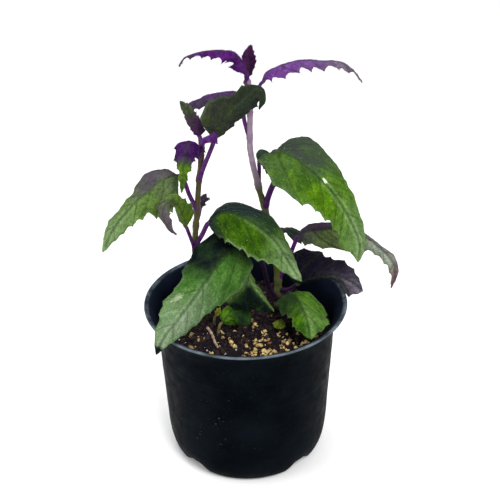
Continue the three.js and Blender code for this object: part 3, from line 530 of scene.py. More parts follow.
class Sheet:
    """The middle surface of a leaf, and its stalk's route."""

    def __init__(self, leaf, start):
        self.leaf = leaf
        places = [start, *leaf["route"]]
        self.curve = Curve(places)
        step = Curve.STEPS * (leaf["base"] + 1) / (len(places) - 1)
        steps = np.arange(Curve.STEPS + 1)
        self.base = np.interp(step, steps, self.curve.lengths) / self.curve.total
        self.blade_length = self.curve.total * (1 - self.base)
        self.widest = max(leaf["left"] + leaf["right"])

    def frame(self, u):
        part = self.base + (1 - self.base) * np.atleast_1d(u)
        forward = self.curve.tangent(part)
        face, tip = np.array(self.leaf["face"], float), np.array(self.leaf["tip_face"], float)
        up = face + (tip - face) * np.atleast_1d(u)[:, None]
        up = unit(up - (up * forward).sum(1)[:, None] * forward)
        return self.curve.point(part), forward, up, np.cross(forward, up)

    def point(self, u, side, distance):
        """Places for flat arrays of u and distance on one side."""
        leaf = self.leaf
        centre, forward, up, aside = self.frame(u)
        half = np.maximum(half_width(leaf, u, side), TIP_HALF_WIDTH)
        v = np.minimum(distance / half, 1.2)
        which = 0 if side < 0 else 1
        fold, tip_fold = leaf["fold"][which], leaf.get("tip_fold", leaf["fold"])[which]
        bend = np.radians(fold + (tip_fold - fold) * u + leaf["curl"] * v / 2)
        near_base = np.maximum(0, 1 - u / LOBE_FADES)
        lean = EDGE_LEAN * (1 - near_base) - leaf["lobe"][which] * near_base
        phase = 0.6 if side < 0 else 2.4
        swing = np.sin(2 * math.pi * leaf["waves"] * u + phase) * (half / self.widest)
        wave = leaf["wave"] * v * v * swing
        # The crease at the midrib is rounded.
        drop = np.sqrt(distance**2 + CREASE_RADIUS**2) - CREASE_RADIUS
        return (
            centre + aside * (side * distance * np.cos(bend))[:, None]
            + up * (wave - drop * np.sin(bend))[:, None]
            + forward * (distance * lean)[:, None]
        )


class Skin:
    """Collects the places, faces, materials and values of one piece."""

    VALUES = ("vein", "dusk", "pale", "violet", "under", "high", "scar")

    def __init__(self):
        self.places, self.blocks, self.count = [], [], 0
        self.values = {name: [] for name in self.VALUES}

    def add(self, places, blocks, material=0, **values):
        """blocks are arrays of faces with equal corner counts, numbered from these places' first."""
        places = np.asarray(places, float).reshape(-1, 3)
        for block in blocks:
            if len(block):
                self.blocks.append((np.asarray(block, int) + self.count, material))
        self.places.append(places)
        for name in self.VALUES:
            value = values.get(name, 0)
            self.values[name].append(np.broadcast_to(np.ravel(value), len(places)))
        self.count += len(places)

    def piece(self, name, materials):
        mesh = bpy.data.meshes.new(name)
        places = np.concatenate(self.places) * to_metres
        corners = np.concatenate([block.ravel() for block, _ in self.blocks])
        sizes = np.concatenate([np.full(len(b), b.shape[1]) for b, _ in self.blocks])
        slots = np.concatenate([np.full(len(b), m) for b, m in self.blocks])
        mesh.vertices.add(len(places))
        mesh.vertices.foreach_set("co", places.ravel())
        mesh.loops.add(len(corners))
        mesh.loops.foreach_set("vertex_index", corners.astype(np.int32))
        mesh.polygons.add(len(sizes))
        starts = np.concatenate([[0], np.cumsum(sizes)[:-1]])
        mesh.polygons.foreach_set("loop_start", starts.astype(np.int32))
        mesh.polygons.foreach_set("material_index", slots.astype(np.int32))
        mesh.polygons.foreach_set("use_smooth", np.ones(len(sizes), bool))
        for value in self.VALUES:
            numbers = np.concatenate(self.values[value]).astype(np.float32)
            if numbers.any():
                made = mesh.attributes.new(value, "FLOAT", "POINT")
                made.data.foreach_set("value", numbers)
        mesh.update(calc_edges=True)
        mesh.validate()
        for material in materials:
            mesh.materials.append(material)
        return put(name, mesh)


def grid_faces(rows, columns, closed=False):
    """Quads of a grid of places, row by row; closed joins its last column to its first."""
    i, j = np.meshgrid(np.arange(rows - 1), np.arange(columns - (not closed)), indexing="ij")
    next_j = (j + 1) % columns
    quads = [i * columns + j, i * columns + next_j, (i + 1) * columns + next_j,
             (i + 1) * columns + j]
    return np.stack(quads, -1).reshape(-1, 4)


def grid_normals(grid, closed=False):
    along = np.gradient(grid, axis=0)
    if closed:
        across = np.roll(grid, -1, 1) - np.roll(grid, 1, 1)
    else:
        across = np.gradient(grid, axis=1)
    return unit(np.cross(across, along))


def tube_grid(centres, radii, sides):
    """Rings of places round a route of centres."""
    along = unit(np.gradient(centres, axis=0))
    across = np.array([1.0, 0, 0]) if abs(along[0][0]) < 0.9 else np.array([0, 1.0, 0])
    turn = circle(sides)
    rings = []
    for centre, forward, radius in zip(centres, along, radii):
        across = unit(across - across.dot(forward) * forward)
        up = np.cross(forward, across)
        ring = np.cos(turn)[:, None] * across + np.sin(turn)[:, None] * up
        rings.append(centre + np.reshape(radius, (-1, 1)) * ring)
    return np.array(rings)


def closed_tube(skin, grid, material=0, **values):
    """Adds a tube of rings with a cap at each end."""
    rows, columns = grid.shape[:2]
    caps = [grid[0].mean(0), grid[-1].mean(0)]
    places = np.concatenate([grid.reshape(-1, 3), caps])
    k = np.arange(columns)
    first, last = rows * columns, rows * columns + 1
    start = np.stack([np.full(columns, first), (k + 1) % columns, k], 1)
    base = (rows - 1) * columns
    end = np.stack([np.full(columns, last), base + k, base + (k + 1) % columns], 1)
    for name, value in values.items():
        value = np.broadcast_to(np.ravel(value), rows * columns)
        values[name] = np.concatenate([value, value[[0, -1]]])
    skin.add(places, [grid_faces(rows, columns, True), start, end], material, **values)


def hairs(skin, roots, normals, lean, length, radius, rng, material):
    """Adds a fine three-sided hair at each root, leaning and a little unruly."""
    count = len(roots)
    if not count:
        return
    out = unit(normals + lean + 0.3 * rng.normal(size=(count, 3)))
    across = unit(np.cross(out, rng.normal(size=(count, 3))))
    up = np.cross(out, across)
    reach = length * rng.uniform(0.6, 1.15, (count, 1))
    foot = roots - 0.1 * out
    ring = [foot + radius * (math.cos(a) * across + math.sin(a) * up)
            for a in (0, 2 * math.pi / 3, 4 * math.pi / 3)]
    places = np.stack([*ring, roots + out * reach], 1)
    first = 4 * np.arange(count)[:, None]
    faces = np.concatenate([first + [0, 1, 3], first + [1, 2, 3], first + [2, 0, 3]])
    skin.add(places, [faces], material, high=np.tile([0, 0, 0, 1], count))


def scatter(grid, normals, per_area, rng):
    """Random places on a grid of places with their normals, so many to a square millimetre."""
    a, b, c, d = grid[:-1, :-1], grid[:-1, 1:], grid[1:, 1:], grid[1:, :-1]
    areas = np.linalg.norm(np.cross(c - a, d - b), axis=-1).ravel() / 2
    count = int(areas.sum() * per_area)
    cells = np.searchsorted(np.cumsum(areas), rng.uniform(0, areas.sum(), count))
    i, j = np.divmod(np.minimum(cells, len(areas) - 1), grid.shape[1] - 1)
    s, t = rng.uniform(size=(2, count, 1))

    def blend(field):
        low = field[i, j] * (1 - t) + field[i, j + 1] * t
        high = field[i + 1, j] * (1 - t) + field[i + 1, j + 1] * t
        return low * (1 - s) + high * s

    return blend(grid), unit(blend(normals)), i, j


def droplets(skin, places, normals, sizes, material):
    """Adds small flattened drops that sit on a surface."""
    steps, sides = 5, 10
    for place, normal, size in zip(places, normals, sizes):
        across = unit(np.cross(normal, [0.3, 0.5, 0.8]))
        up = np.cross(normal, across)
        rise = np.linspace(-0.15, 1, steps)
        rings = []
        for h in rise[:-1]:
            wide = size * math.sqrt(max(1 - h * h, 0))
            turn = circle(sides)[:, None]
            rings.append(place + normal * (0.6 * size * h)
                         + wide * (np.cos(turn) * across + np.sin(turn) * up))
        rings.append(np.tile(place + normal * 0.6 * size, (sides, 1))
                     + 0.02 * size * (rings[0] - place))
        closed_tube(skin, np.array(rings), material)


def vein_field(leaf, sheet, u, side, d):
    """Distance to the nearest side vein, and how strongly the veins show, from 0 to 1."""
    length = sheet.blade_length
    seed = leaf["join"] + side
    nearest, shows = np.full(u.shape, 99.0), np.zeros(u.shape)
    for k in range(leaf["teeth"] - 1):
        crest = (k + TOOTH_CREST) / leaf["teeth"]
        reach = float(half_width(leaf, np.array([crest]), side)[0])
        if reach < 2:
            continue
        weak = draw(seed, k + 40) if k % 2 else 0.2 * draw(seed, k + 40)
        back = VEIN_SLANT * reach / length * (0.8 + 0.4 * draw(seed, k + 60))
        run = min(back, crest - 0.012 * (k + 1))
        line = crest - run + run * (d / reach) ** VEIN_CURVE
        steep = run * length / reach
        away = np.abs(u - line) * length / math.hypot(1, steep)
        away = away + 3 * np.maximum(0, d / reach - 0.96)
        width = VEIN_WIDTH * (1 - 0.5 * np.minimum(d / reach, 1))
        shows = np.maximum(shows, (1 - 0.8 * weak) * bell(away / width))
        nearest = np.minimum(nearest, away + 1.2 * weak)
    return nearest, shows


def streaks(leaf, sheet, u, side, d):
    """Uneven bands that run the way the side veins do, from 0 to 1."""
    reach = np.maximum(half_width(leaf, u, side), 1)
    forward = VEIN_SLANT * reach * np.minimum(d / reach, 1) ** VEIN_CURVE
    along = np.stack([u * sheet.blade_length - forward, side * (20 + 0.5 * d), 0 * u], 1)
    return smooth(0.5 + 0.32 * uneven(along, 5, leaf["join"] + 9))


def quarter_weights(look, kind, u, across):
    """Blends four corner weights over a leaf: left base, left tip, right base, right tip."""
    left_base, left_tip, right_base, right_tip = look[kind]
    turn = look[kind + "_turn"]
    left = left_base + (left_tip - left_base) * smooth(u, *turn[:2])
    right = right_base + (right_tip - right_base) * smooth(u, *turn[-2:])
    return left + (right - left) * smooth(across, -0.12, 0.12)


def half_blade(leaf, sheet, rows, share, side):
    """Places, lift and values of half a blade, in rows from the midrib to the edge."""
    length = sheet.blade_length
    edge = np.maximum(tooth_edge(leaf, rows, side), np.where(rows == 0, leaf["petiole"], 0))
    edge[-1] = 0.12
    u = np.repeat(rows, len(share))
    d = (edge[:, None] * share).ravel()
    v = np.tile(share, len(rows))
    away, shows = vein_field(leaf, sheet, u, side, d)
    rib = np.minimum(away, np.where(u < 0.97, d, 9))
    count = u * leaf["teeth"]
    which = np.floor(count + 1e-6)
    flutter = np.array([draw(leaf["join"] + side + 7, int(i)) - 0.5 for i in which])
    crest = np.maximum(0, 1 - np.abs(count - which - TOOTH_CREST) / 0.4)
    lift = 0.5 * max(leaf["tooth"]) * flutter * crest * v**5
    lift += PILLOW * (1 - bell(rib / 2.4)) * (1 - v**6)
    lift -= 0.3 * bell(rib / 0.8) * (1 - v**4)
    lift += 0.16 * uneven(np.stack([u * length, side * d, 0 * u], 1), 3.2, leaf["join"] + 5)
    scale = min(1, sheet.widest / 12)
    values = dict(
        place=sheet.point(u, side, d),
        lift=lift * scale,
        vein=np.maximum(shows, bell(d / 0.8) * (u < 0.95)),
        # high holds uneven streaks of the leaf's own tone and a painted highlight in a band beside each
        # side vein; flank is a painted highlight beside the midrib.
        high=np.clip(0.8 * streaks(leaf, sheet, u, side, d) + 0.45 * bell((away - 1.4) / 0.6), 0, 1),
        flank=bell((d - 1.6) / 0.7) * smooth(u, 0.2, 0.5) * (scale == 1),
        u=u,
        v=side * v,
    )
    shape = (len(rows), len(share))
    return {key: value.reshape(*shape, *value.shape[1:]) for key, value in values.items()}


def blade_colours(look, sheet, grid, blade):
    """How strongly each colour shows at each place of a blade."""
    u, v = blade["u"], blade["v"]
    out = np.abs(v)
    values = dict(
        vein=blade["vein"],
        high=blade["high"],
        # Painted shade and painted sheen mixed with the leaf's own dusky purple, and painted shade on
        # the tip.
        dusk=np.maximum(quarter_weights(look, "dusk", u, v),
                        look["dark_end"] * smooth(u, 0.92, 0.96)),
        # Painted highlight: the lit grey green, also along the edge and beside the midrib.
        pale=quarter_weights(look, "pale", u, v) * (1 - smooth(out, 0.8, 1))
        + look["rim"] * (1 - max(look["violet"])) * smooth(out, 0.84, 1)
        + look["flank"] * blade["flank"],
        violet=quarter_weights(look, "violet", u, v),
    )
    if "scar" in look:
        scar_u, scar_v, size, strength = look["scar"]
        aside = sheet.widest * (v - scar_v)
        off = np.hypot((u - scar_u) * sheet.blade_length, aside) / size
        values["scar"] = strength * (1 - smooth(off + 0.3 * uneven(grid, 1.5, 61), 0.6, 1.1))
    return values


def add_blade(skin, above, below, values):
    """Adds a blade's upper and under face, and the rim that joins them all round."""
    rows, columns = above.shape[:2]
    count = rows * columns
    i, j = np.arange(rows - 1) * columns, np.arange(columns - 1)
    last_column, last_row = columns - 1, (rows - 1) * columns
    rim = []
    for a, step, flip in ((i, columns, False), (i + last_column, columns, True), (j, 1, True),
                          (j + last_row, 1, False)):
        quad = np.stack([a, a + step, a + step + count, a + count], 1)
        rim.append(quad[:, ::-1] if flip else quad)
    faces = grid_faces(rows, columns)
    both = {key: np.tile(value.ravel(), 2) for key, value in values.items()}
    skin.add(
        np.concatenate([above.reshape(-1, 3), below.reshape(-1, 3)]),
        [faces, faces[:, ::-1] + count, *rim], BLADE, under=np.repeat([0, 1], count), **both,
    )


def add_stalk(skin, leaf, sheet, stem_radius):
    """Adds the stalk, which swells at the stem and runs on under the blade as a thinning midrib.

    Returns the rings of its bare stretch.
    """
    stalk, length = leaf["petiole"], sheet.curve.total
    first = min(0.5 * stem_radius / length, 0.5 * sheet.base)
    end = sheet.base + (1 - sheet.base) * 0.92
    part = np.linspace(first, end, int(length / 1.1) + 12)
    on = np.clip((part - sheet.base) / (1 - sheet.base), 0, 1)
    radius = stalk * (1 + 0.35 * bell((part - first) * length / 3.5))
    thinning = 0.34 * (1 - 0.7 * on)
    radius = np.where(on > 0, np.maximum(stalk * (1 - on / 0.16), thinning), radius)
    radius = np.maximum(radius, thinning)
    sink = (0.8 * radius + 0.36) * smooth(part, 0.9 * sheet.base, 1.02 * sheet.base)
    centres = sheet.curve.point(part) - sheet.frame(on)[2] * sink[:, None]
    tube = tube_grid(centres, radius, STALK_SIDES)
    green = np.repeat(smooth(part, 0.94 * sheet.base, sheet.base), STALK_SIDES)
    closed_tube(skin, tube, STALK, high=green)
    return tube[part < sheet.base + 0.02]


def add_blade_hairs(skin, grid, up, above, below, fuzz, rng):
    """Adds hairs on both faces of a blade and along its edges."""
    reach = 0.55 + 0.75 * fuzz
    forward = unit(np.gradient(grid, axis=0))
    for face, out, amount in ((above, up, 0.5 + 1.7 * fuzz), (below, -up, 0.4 + 0.9 * fuzz)):
        roots, normals, i, j = scatter(face, out, amount, rng)
        hairs(skin, roots, normals, 0.5 * forward[i, j], reach, 0.022 + 0.026 * fuzz, rng, HAIR)
    for column, inner in ((0, 1), (-1, -2)):
        line = grid[:, column]
        steps = np.linalg.norm(np.diff(line, axis=0), axis=1)
        walked = np.concatenate([[0], np.cumsum(steps)])
        spots = rng.uniform(0, walked[-1], int(walked[-1] * (1.5 + 2.5 * fuzz)))
        at, out, ahead = (
            np.stack([np.interp(spots, walked, field[:, k]) for k in range(3)], 1)
            for field in (line, unit(line - grid[:, inner]), forward[:, column])
        )
        hairs(skin, at, unit(out), 0.4 * ahead, reach * 1.1, 0.03 + 0.025 * fuzz, rng, HAIR)


def leaf_piece(name, leaf, start, look, materials, stem_radius):
    """The fine leaf: toothed blade with veins, midrib, stalk, hairs and dew."""
    sheet = Sheet(leaf, start)
    rng = np.random.RandomState(int(leaf["join"]))
    teeth = leaf["teeth"]
    parts = FINE_PARTS if sheet.blade_length / teeth > 5 else COARSE_PARTS
    rows = [(tooth + part) / teeth for tooth in range(teeth) for part in parts]
    rows = np.unique([0, 0.004, 0.01, 0.02] + rows[1:] + [0.995, 1])
    share = np.linspace(0, 1, int(np.clip(sheet.widest / COLUMN_WIDTH, 9, 32)) + 1)
    left, right = (half_blade(leaf, sheet, rows, share, side) for side in (-1, 1))
    blade = {key: np.concatenate([left[key][:, ::-1], right[key][:, 1:]], axis=1) for key in left}

    grid = blade["place"]
    grid = grid + grid_normals(grid) * blade["lift"][..., None]
    up = grid_normals(grid)
    across = np.abs(blade["v"])
    thick = EDGE_THICKNESS + (BLADE_THICKNESS - EDGE_THICKNESS) * (1 - across**3)
    above = grid + up * (thick / 2)[..., None]
    below = grid - up * (thick / 2)[..., None]

    skin = Skin()
    add_blade(skin, above, below, blade_colours(look, sheet, grid, blade))
    bare = add_stalk(skin, leaf, sheet, stem_radius)
    add_blade_hairs(skin, grid, up, above, below, look["hair"], rng)
    if len(bare) > 2:
        roots, normals, _, _ = scatter(bare, -grid_normals(bare, True), 1.3, rng)
        hairs(skin, roots, normals, 0, 0.9, 0.05, rng, HAIR)
    if look["dew"]:
        roots, normals, _, _ = scatter(above, up, 1, rng)
        some = rng.choice(len(roots), look["dew"], replace=False)
        droplets(skin, roots[some], normals[some], rng.uniform(0.08, 0.2, look["dew"]), DROP)
    return skin.piece(name + "_fine", materials)


def colour(red, green, blue):
    """A colour as a screen shows it, from 0 to 255, as the renderer's linear light."""
    def line(c):
        c /= 255
        return c / 12.92 if c <= 0.04045 else ((c + 0.055) / 1.055) ** 2.4
    return (line(red), line(green), line(blue), 1)


class Paint:
    """A material of nodes around one shader."""

    def __init__(self, name, **settings):
        self.material = bpy.data.materials.new(name)
        self.material.use_nodes = True
        self.tree = self.material.node_tree
        self.shader = self.tree.nodes["Principled BSDF"]
        for key, value in settings.items():
            self.shader.inputs[key.replace("_", " ").title().replace("Ior", "IOR")]\
                .default_value = value
        self.where = self.tree.nodes.new("ShaderNodeTexCoord").outputs["Object"]

    def link(self, source, target):
        self.tree.links.new(source, target)

    def feed(self, socket, value):
        if isinstance(value, bpy.types.NodeSocket):
            self.link(value, socket)
        else:
            socket.default_value = value

    def node(self, kind, **given):
        """A new node. Names in small letters are its properties, and the others its inputs."""
        node = self.tree.nodes.new("ShaderNode" + kind)
        for key, value in given.items():
            if key.islower():
                setattr(node, key, value)
            else:
                self.feed(node.inputs[key], value)
        return node

    def value(self, name):
        return self.node("Attribute", attribute_name=name).outputs["Fac"]

    def noise(self, scale, detail=3, roughness=0.55):
        return self.node("TexNoise", Scale=scale, Detail=detail, Roughness=roughness,
                         Vector=self.where).outputs["Fac"]

    def cells(self, scale):
        """Distance to the border of the nearest cell."""
        return self.node("TexVoronoi", feature="DISTANCE_TO_EDGE", Scale=scale,
                         Vector=self.where).outputs["Distance"]

    def fit(self, value, low, high, out_low=0.0, out_high=1.0):
        """The value with its stretch from low to high spread over another one."""
        inputs = {"Value": value, "From Min": low, "From Max": high, "To Min": out_low,
                  "To Max": out_high}
        return self.node("MapRange", **inputs).outputs["Result"]

    def maths(self, operation, first, second):
        node = self.node("Math", operation=operation)
        self.feed(node.inputs[0], first)
        self.feed(node.inputs[1], second)
        return node.outputs[0]

    def times(self, first, second):
        return self.maths("MULTIPLY", first, second)

    def mix(self, factor, first, second, blend="MIX"):
        node = self.node("Mix", data_type="RGBA", blend_type=blend)
        for socket, value in ((0, factor), (6, first), (7, second)):
            self.feed(node.inputs[socket], value)
        return node.outputs[2]

    def bump(self, height, strength, distance):
        node = self.node("Bump", Strength=strength, Distance=distance, Height=height)
        normal = self.shader.inputs["Normal"]
        if normal.is_linked:
            self.link(normal.links[0].from_socket, node.inputs["Normal"])
        self.link(node.outputs["Normal"], normal)

    def done(self, base, scale, detail, smoothest, roughest, low=0.3, high=0.7):
        """Gives the shader its colour, and a roughness that varies with a noise."""
        self.link(base, self.shader.inputs["Base Color"])
        rough = self.fit(self.noise(scale, detail), low, high, smoothest, roughest)
        self.link(rough, self.shader.inputs["Roughness"])
        return self.material


WINE = colour(60, 26, 48)
SCAR = colour(206, 212, 180)
VEIN = colour(34, 46, 26)


def blade_material(name, look):
    def shade(key):
        return colour(*look[key])

    paint = Paint(name, sheen_weight=0.01 + 0.07 * max(look["violet"]), sheen_roughness=0.4,
                  sheen_tint=colour(150, 110, 180), specular_ior_level=0.03)
    patches = paint.fit(paint.noise(120, 4, 0.6), 0.38, 0.66)
    streaked = paint.times(paint.value("high"), 0.6)
    patches = paint.fit(paint.maths("ADD", patches, streaked), 0.25, 1.3)
    base = paint.mix(patches, shade("green"), shade("glow"))
    cells = paint.cells(420)
    border = paint.fit(cells, 0.0, 0.14, 1.0, 0.0)
    base = paint.mix(paint.times(border, 0.3), base, shade("green"), "MULTIPLY")
    # Painted highlight of lit parts in the pale colour.
    pale = paint.times(paint.value("pale"), paint.fit(patches, 0, 1, 0.6, 1))
    base = paint.mix(pale, base, shade("pale_colour"))
    # Painted shade and painted sheen mixed with the leaf's own dusky purple, broken up by a noise.
    cloudy = paint.fit(paint.noise(90, 3), 0.3, 0.7, -0.22, 0.22)
    dusk = paint.maths("ADD", paint.value("dusk"), cloudy)
    dusk = paint.times(dusk, paint.fit(paint.value("dusk"), 0, 0.25))
    base = paint.mix(dusk, base, shade("shade_and_bloom_colour"))
    tint = paint.mix(paint.fit(paint.noise(260, 3), 0.35, 0.7), shade("violet_colour"),
                     shade("violet_glow"))
    base = paint.mix(paint.value("violet"), base, tint)
    base = paint.mix(paint.times(paint.value("vein"), 0.55), base, VEIN)
    base = paint.mix(paint.value("scar"), base, SCAR)
    base = paint.mix(paint.value("under"), base, WINE)
    grain = paint.fit(paint.noise(1500, 2), 0.35, 0.65, 0.74, 1.22)
    mottle = paint.fit(paint.noise(560, 3), 0.35, 0.65, 0.84, 1.16)
    bright = paint.node("HueSaturation", Value=paint.times(grain, mottle), Color=base)
    paint.bump(cells, 0.5, 0.0008)
    paint.bump(paint.noise(1300, 3), 0.25, 0.0003)
    return paint.done(bright.outputs["Color"], 500, 2, 0.48, 0.68)


def stalk_material(name, first, second):
    paint = Paint(name, sheen_weight=0.06, sheen_roughness=0.4, sheen_tint=colour(190, 150, 210),
                  specular_ior_level=0.12)
    streak = paint.fit(paint.noise(330, 4), 0.35, 0.65)
    base = paint.mix(streak, first, second)
    base = paint.mix(paint.value("high"), base, colour(52, 66, 24))
    paint.bump(paint.noise(900, 3), 0.4, 0.0003)
    return paint.done(base, 500, 2, 0.45, 0.65)


def hair_material(name, root, tip):
    paint = Paint(name, specular_ior_level=0.1)
    base = paint.mix(paint.value("high"), root, tip)
    base = paint.mix(paint.fit(paint.noise(900, 1), 0.4, 0.7, 0, 0.5), base, tip)
    return paint.done(base, 300, 1, 0.5, 0.65)


HAIRS = {
    "green": hair_material("hair_green", colour(40, 60, 18), colour(84, 98, 66)),
    "violet": hair_material("hair_violet", colour(56, 16, 70), colour(98, 50, 120)),
    "stem": hair_material("hair_stem", colour(90, 56, 90), colour(150, 128, 152)),
    # Hairs low on the stems, darkened by painted shade.
    "foot": hair_material("hair_foot", colour(44, 46, 14), colour(84, 84, 44)),
}
# The dew's light yellow-green colour is a painted glint.
DEW_PAINT = Paint("dew", specular_ior_level=0.6)
DEW = DEW_PAINT.done(
    DEW_PAINT.mix(DEW_PAINT.noise(400, 1), colour(110, 146, 40), colour(180, 208, 110)),
    300, 1, 0.05, 0.15)
STALKS = {
    "violet": stalk_material("petiole", colour(54, 16, 68), colour(84, 36, 102)),
    # The dark stalk, used on the low leaves, is painted shade.
    "dark": stalk_material("petiole_dark", colour(24, 12, 34), colour(48, 26, 58)),
    "green": stalk_material("petiole_green", colour(104, 106, 44), colour(84, 60, 70)),
}


def keep(piece, node):
    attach(piece, "root")
    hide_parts(node)


def stem_point(route, height):
    """The place on a stem's middle line at a height."""
    curve = Curve(route)
    low, high = 0.0, 1.0
    for _ in range(30):
        middle = (low + high) / 2
        if curve.at(middle)[0][2] < height:
            low = middle
        else:
            high = middle
    return tuple(curve.at(low)[0])


for name, given in {**LEAVES, **SPROUTS}.items():
    leaf, look = {**USUAL_LEAF, **given}, {**USUAL_LOOK, **LOOKS[name]}
    if name in LEAVES:
        stem = STEMS[leaf["stem"]]
        start = stem_point(stem["route"], leaf["join"])
        stem_radius = stem["foot"]
    else:
        start = (*leaf["foot"], SOIL_LEVEL - 6)
        stem_radius = 0
    stalk = STALKS[look["stalk"]]
    hair = HAIRS["violet" if max(look["violet"]) > 0.4 else "green"]
    blade = blade_material("blade_" + name, look)
    piece = leaf_piece(name, leaf, start, look, [blade, stalk, hair, DEW], stem_radius)
    keep(piece, name)


def stem_material(name, low, high, turns_at, turns_by, tint):
    paint = Paint(name, sheen_weight=0.08, sheen_roughness=0.4, sheen_tint=colour(200, 180, 210),
                  specular_ior_level=0.15)
    split = paint.node("SeparateXYZ", Vector=paint.where)
    height = paint.fit(split.outputs["Z"], turns_at * to_metres, turns_by * to_metres)
    base = paint.mix(height, low, high)
    tinted = paint.fit(height, 0, 1, 0.1, 0.6)
    streaks = paint.fit(paint.noise(260, 4), 0.45, 0.7)
    base = paint.mix(paint.times(streaks, tinted), base, tint)
    near_node = paint.times(paint.value("violet"), tinted)
    base = paint.mix(near_node, base, tint)
    paint.bump(paint.noise(700, 3), 0.4, 0.0004)
    return paint.done(base, 500, 2, 0.45, 0.65)


STEM_SIDES = 24
# The right stem's low olive is its own colour, darkened by painted shade under the leaves.
STEM_LOOKS = {
    "left": stem_material("stem_left", colour(72, 76, 24), colour(64, 58, 28), 130, 190,
                          colour(54, 32, 48)),
    "right": stem_material("stem_right", colour(72, 80, 22), colour(134, 120, 132), 168, 174,
                           colour(112, 80, 116)),
}
HAIRS_TURN = {"left": 120, "right": 171}

for side, stem in STEMS.items():
    curve = Curve(stem["route"])
    count = int(curve.total / 0.8)
    part = np.linspace(0, 1, count)
    centres = curve.point(part)
    joins = np.array([leaf["join"] for leaf in LEAVES.values() if leaf["stem"] == side])
    nearest = np.abs(centres[:, 2:3] - joins).min(1)
    radius = stem["foot"] + (stem["top"] - stem["foot"]) * part
    radius = radius + NODE_SWELLING * np.maximum(0, 1 - nearest / 4)
    radius = radius + 0.22 * bell((nearest - 1.2) / 0.5)
    ridged = radius[:, None] + 0.09 * np.cos(circle(STEM_SIDES) * 6)[None, :]
    skin = Skin()
    tube = tube_grid(centres, ridged, STEM_SIDES)
    tube = tube + 0.08 * uneven(tube, 5, 31)[..., None]
    violet = np.repeat(bell(nearest / 3.5), STEM_SIDES)
    closed_tube(skin, tube, 0, violet=violet)
    rng = np.random.RandomState(21 if side == "left" else 22)
    shown = tube[centres[:, 2] > SOIL_LEVEL - 1]
    roots, normals, i, j = scatter(shown, -grid_normals(shown, True), 1.1, rng)
    low = roots[:, 2] < HAIRS_TURN[side]
    for chosen, material in ((low, 2), (~low, 1)):
        hairs(skin, roots[chosen], normals[chosen], 0, 1.0, 0.055, rng, material)
    piece = skin.piece(side + "_stem_fine", [STEM_LOOKS[side], HAIRS["stem"], HAIRS["foot"]])
    keep(piece, side + "_stem")


def soil_height(x, y):
    """Height of the soil's top over its level."""
    return SOIL_SWELL * (
        0.5 * np.sin(x * 0.11 + 1.3) * np.cos(y * 0.13 - 0.4)
        + 0.3 * np.sin(x * 0.31 - y * 0.23 + 0.7)
        + 0.25 * np.sin(x * 0.17 + y * 0.43 + 2.1)
    )


def lathe_grid(outline, sides):
    turn = circle(sides)
    outline = np.array(outline, float)
    ring = np.stack([np.cos(turn), np.sin(turn)], 1)
    grid = np.zeros((len(outline), sides, 3))
    grid[..., :2] = outline[:, None, :1] * ring
    grid[..., 2] = outline[:, None, 1]
    return grid


def tumbled(places, rng, least, most):
    """The places turned about a random axis, by an angle between least and most."""
    turn = Matrix.Rotation(rng.uniform(least, most), 3, Vector(rng.normal(size=3)))
    return places @ np.array(turn)


def lump(rng, size, subdivisions):
    """An uneven crumb about that big, as places and faces."""
    mesh = bmesh.new()
    bmesh.ops.create_icosphere(mesh, subdivisions=subdivisions, radius=1)
    places = np.array([v.co for v in mesh.verts])
    faces = np.array([[v.index for v in f.verts] for f in mesh.faces])
    mesh.free()
    places = places * (1 + 0.3 * uneven(places, 1.6, rng.randint(9999)))[:, None]
    places = places * rng.uniform(0.6, 1.15, 3)
    return tumbled(places, rng, 0, 6.28) * size, faces


def flake(rng, size):
    """A crumb of vermiculite: a short pile of thin plates, and how light each place is."""
    plates = rng.randint(3, 8)
    sides = 6
    wide = size * rng.uniform(0.55, 0.95, (plates, 1, 1))
    j = np.arange(sides)
    next_j = (j + 1) % sides
    places, walls, caps = [], [], []
    for k in range(plates):
        turn = circle(sides) + 0.2 * k
        ring = np.stack([np.cos(turn), np.sin(turn) * 0.7], 1) * wide[k]
        ring = ring * rng.uniform(0.8, 1.1, (sides, 1))
        ring = ring + rng.normal(size=2) * 0.06 * size + [0.9 * size * (k / plates - 0.5)**2, 0]
        for top in (k, k + 0.8):
            height = (top / plates - 0.5) * 1.9 * size
            places.append(np.column_stack([ring, np.full(sides, height)]))
        low, high = 2 * k * sides, (2 * k + 1) * sides
        walls.append(np.stack([low + j, low + next_j, high + next_j, high + j], 1))
        caps += [low + j[::-1], high + j]
    places = tumbled(np.concatenate(places), rng, 0.5, 2.6)
    light = np.repeat(rng.uniform(size=plates), 2 * sides)
    return places, [np.concatenate(walls), np.array(caps)], light


def clods(places):
    """Height of the clods on the soil's swells."""
    flat = places * [1, 1, 0]
    return 0.55 * uneven(flat, 5.5, 41) + 0.35 * uneven(flat, 2.2, 42)


soil = Skin()
floor_top = POT_INNER[-1][1]
wall = [(r, h) for r, h in POT_INNER if h < SOIL_LEVEL][::-1]
lower, upper = POT_INNER[4], POT_INNER[3]
share_up = (SOIL_LEVEL - lower[1]) / (upper[1] - lower[1])
soil_edge = lower[0] + (upper[0] - lower[0]) * share_up - GAP
outline = [(0.01, floor_top + GAP + NOTCH["height"])]
outline += [(r - GAP, h + GAP + (NOTCH["height"] if h < 10 else 0)) for r, h in wall]
top_rows = [
    (soil_edge * (1 - k / SOIL_RINGS) + 0.01, SOIL_LEVEL) for k in range(SOIL_RINGS + 1)
]
grid = lathe_grid(outline + top_rows, SOIL_SIDES)
top = grid[len(outline):]
x, y = top[..., 0], top[..., 1]
top[..., 2] += soil_height(x, y) + clods(top) + 0.2 * uneven(top * [1, 1, 0], 1.0, 43)
closed_tube(soil, grid, 0)
rng = np.random.RandomState(SOIL_BITS["seed"])


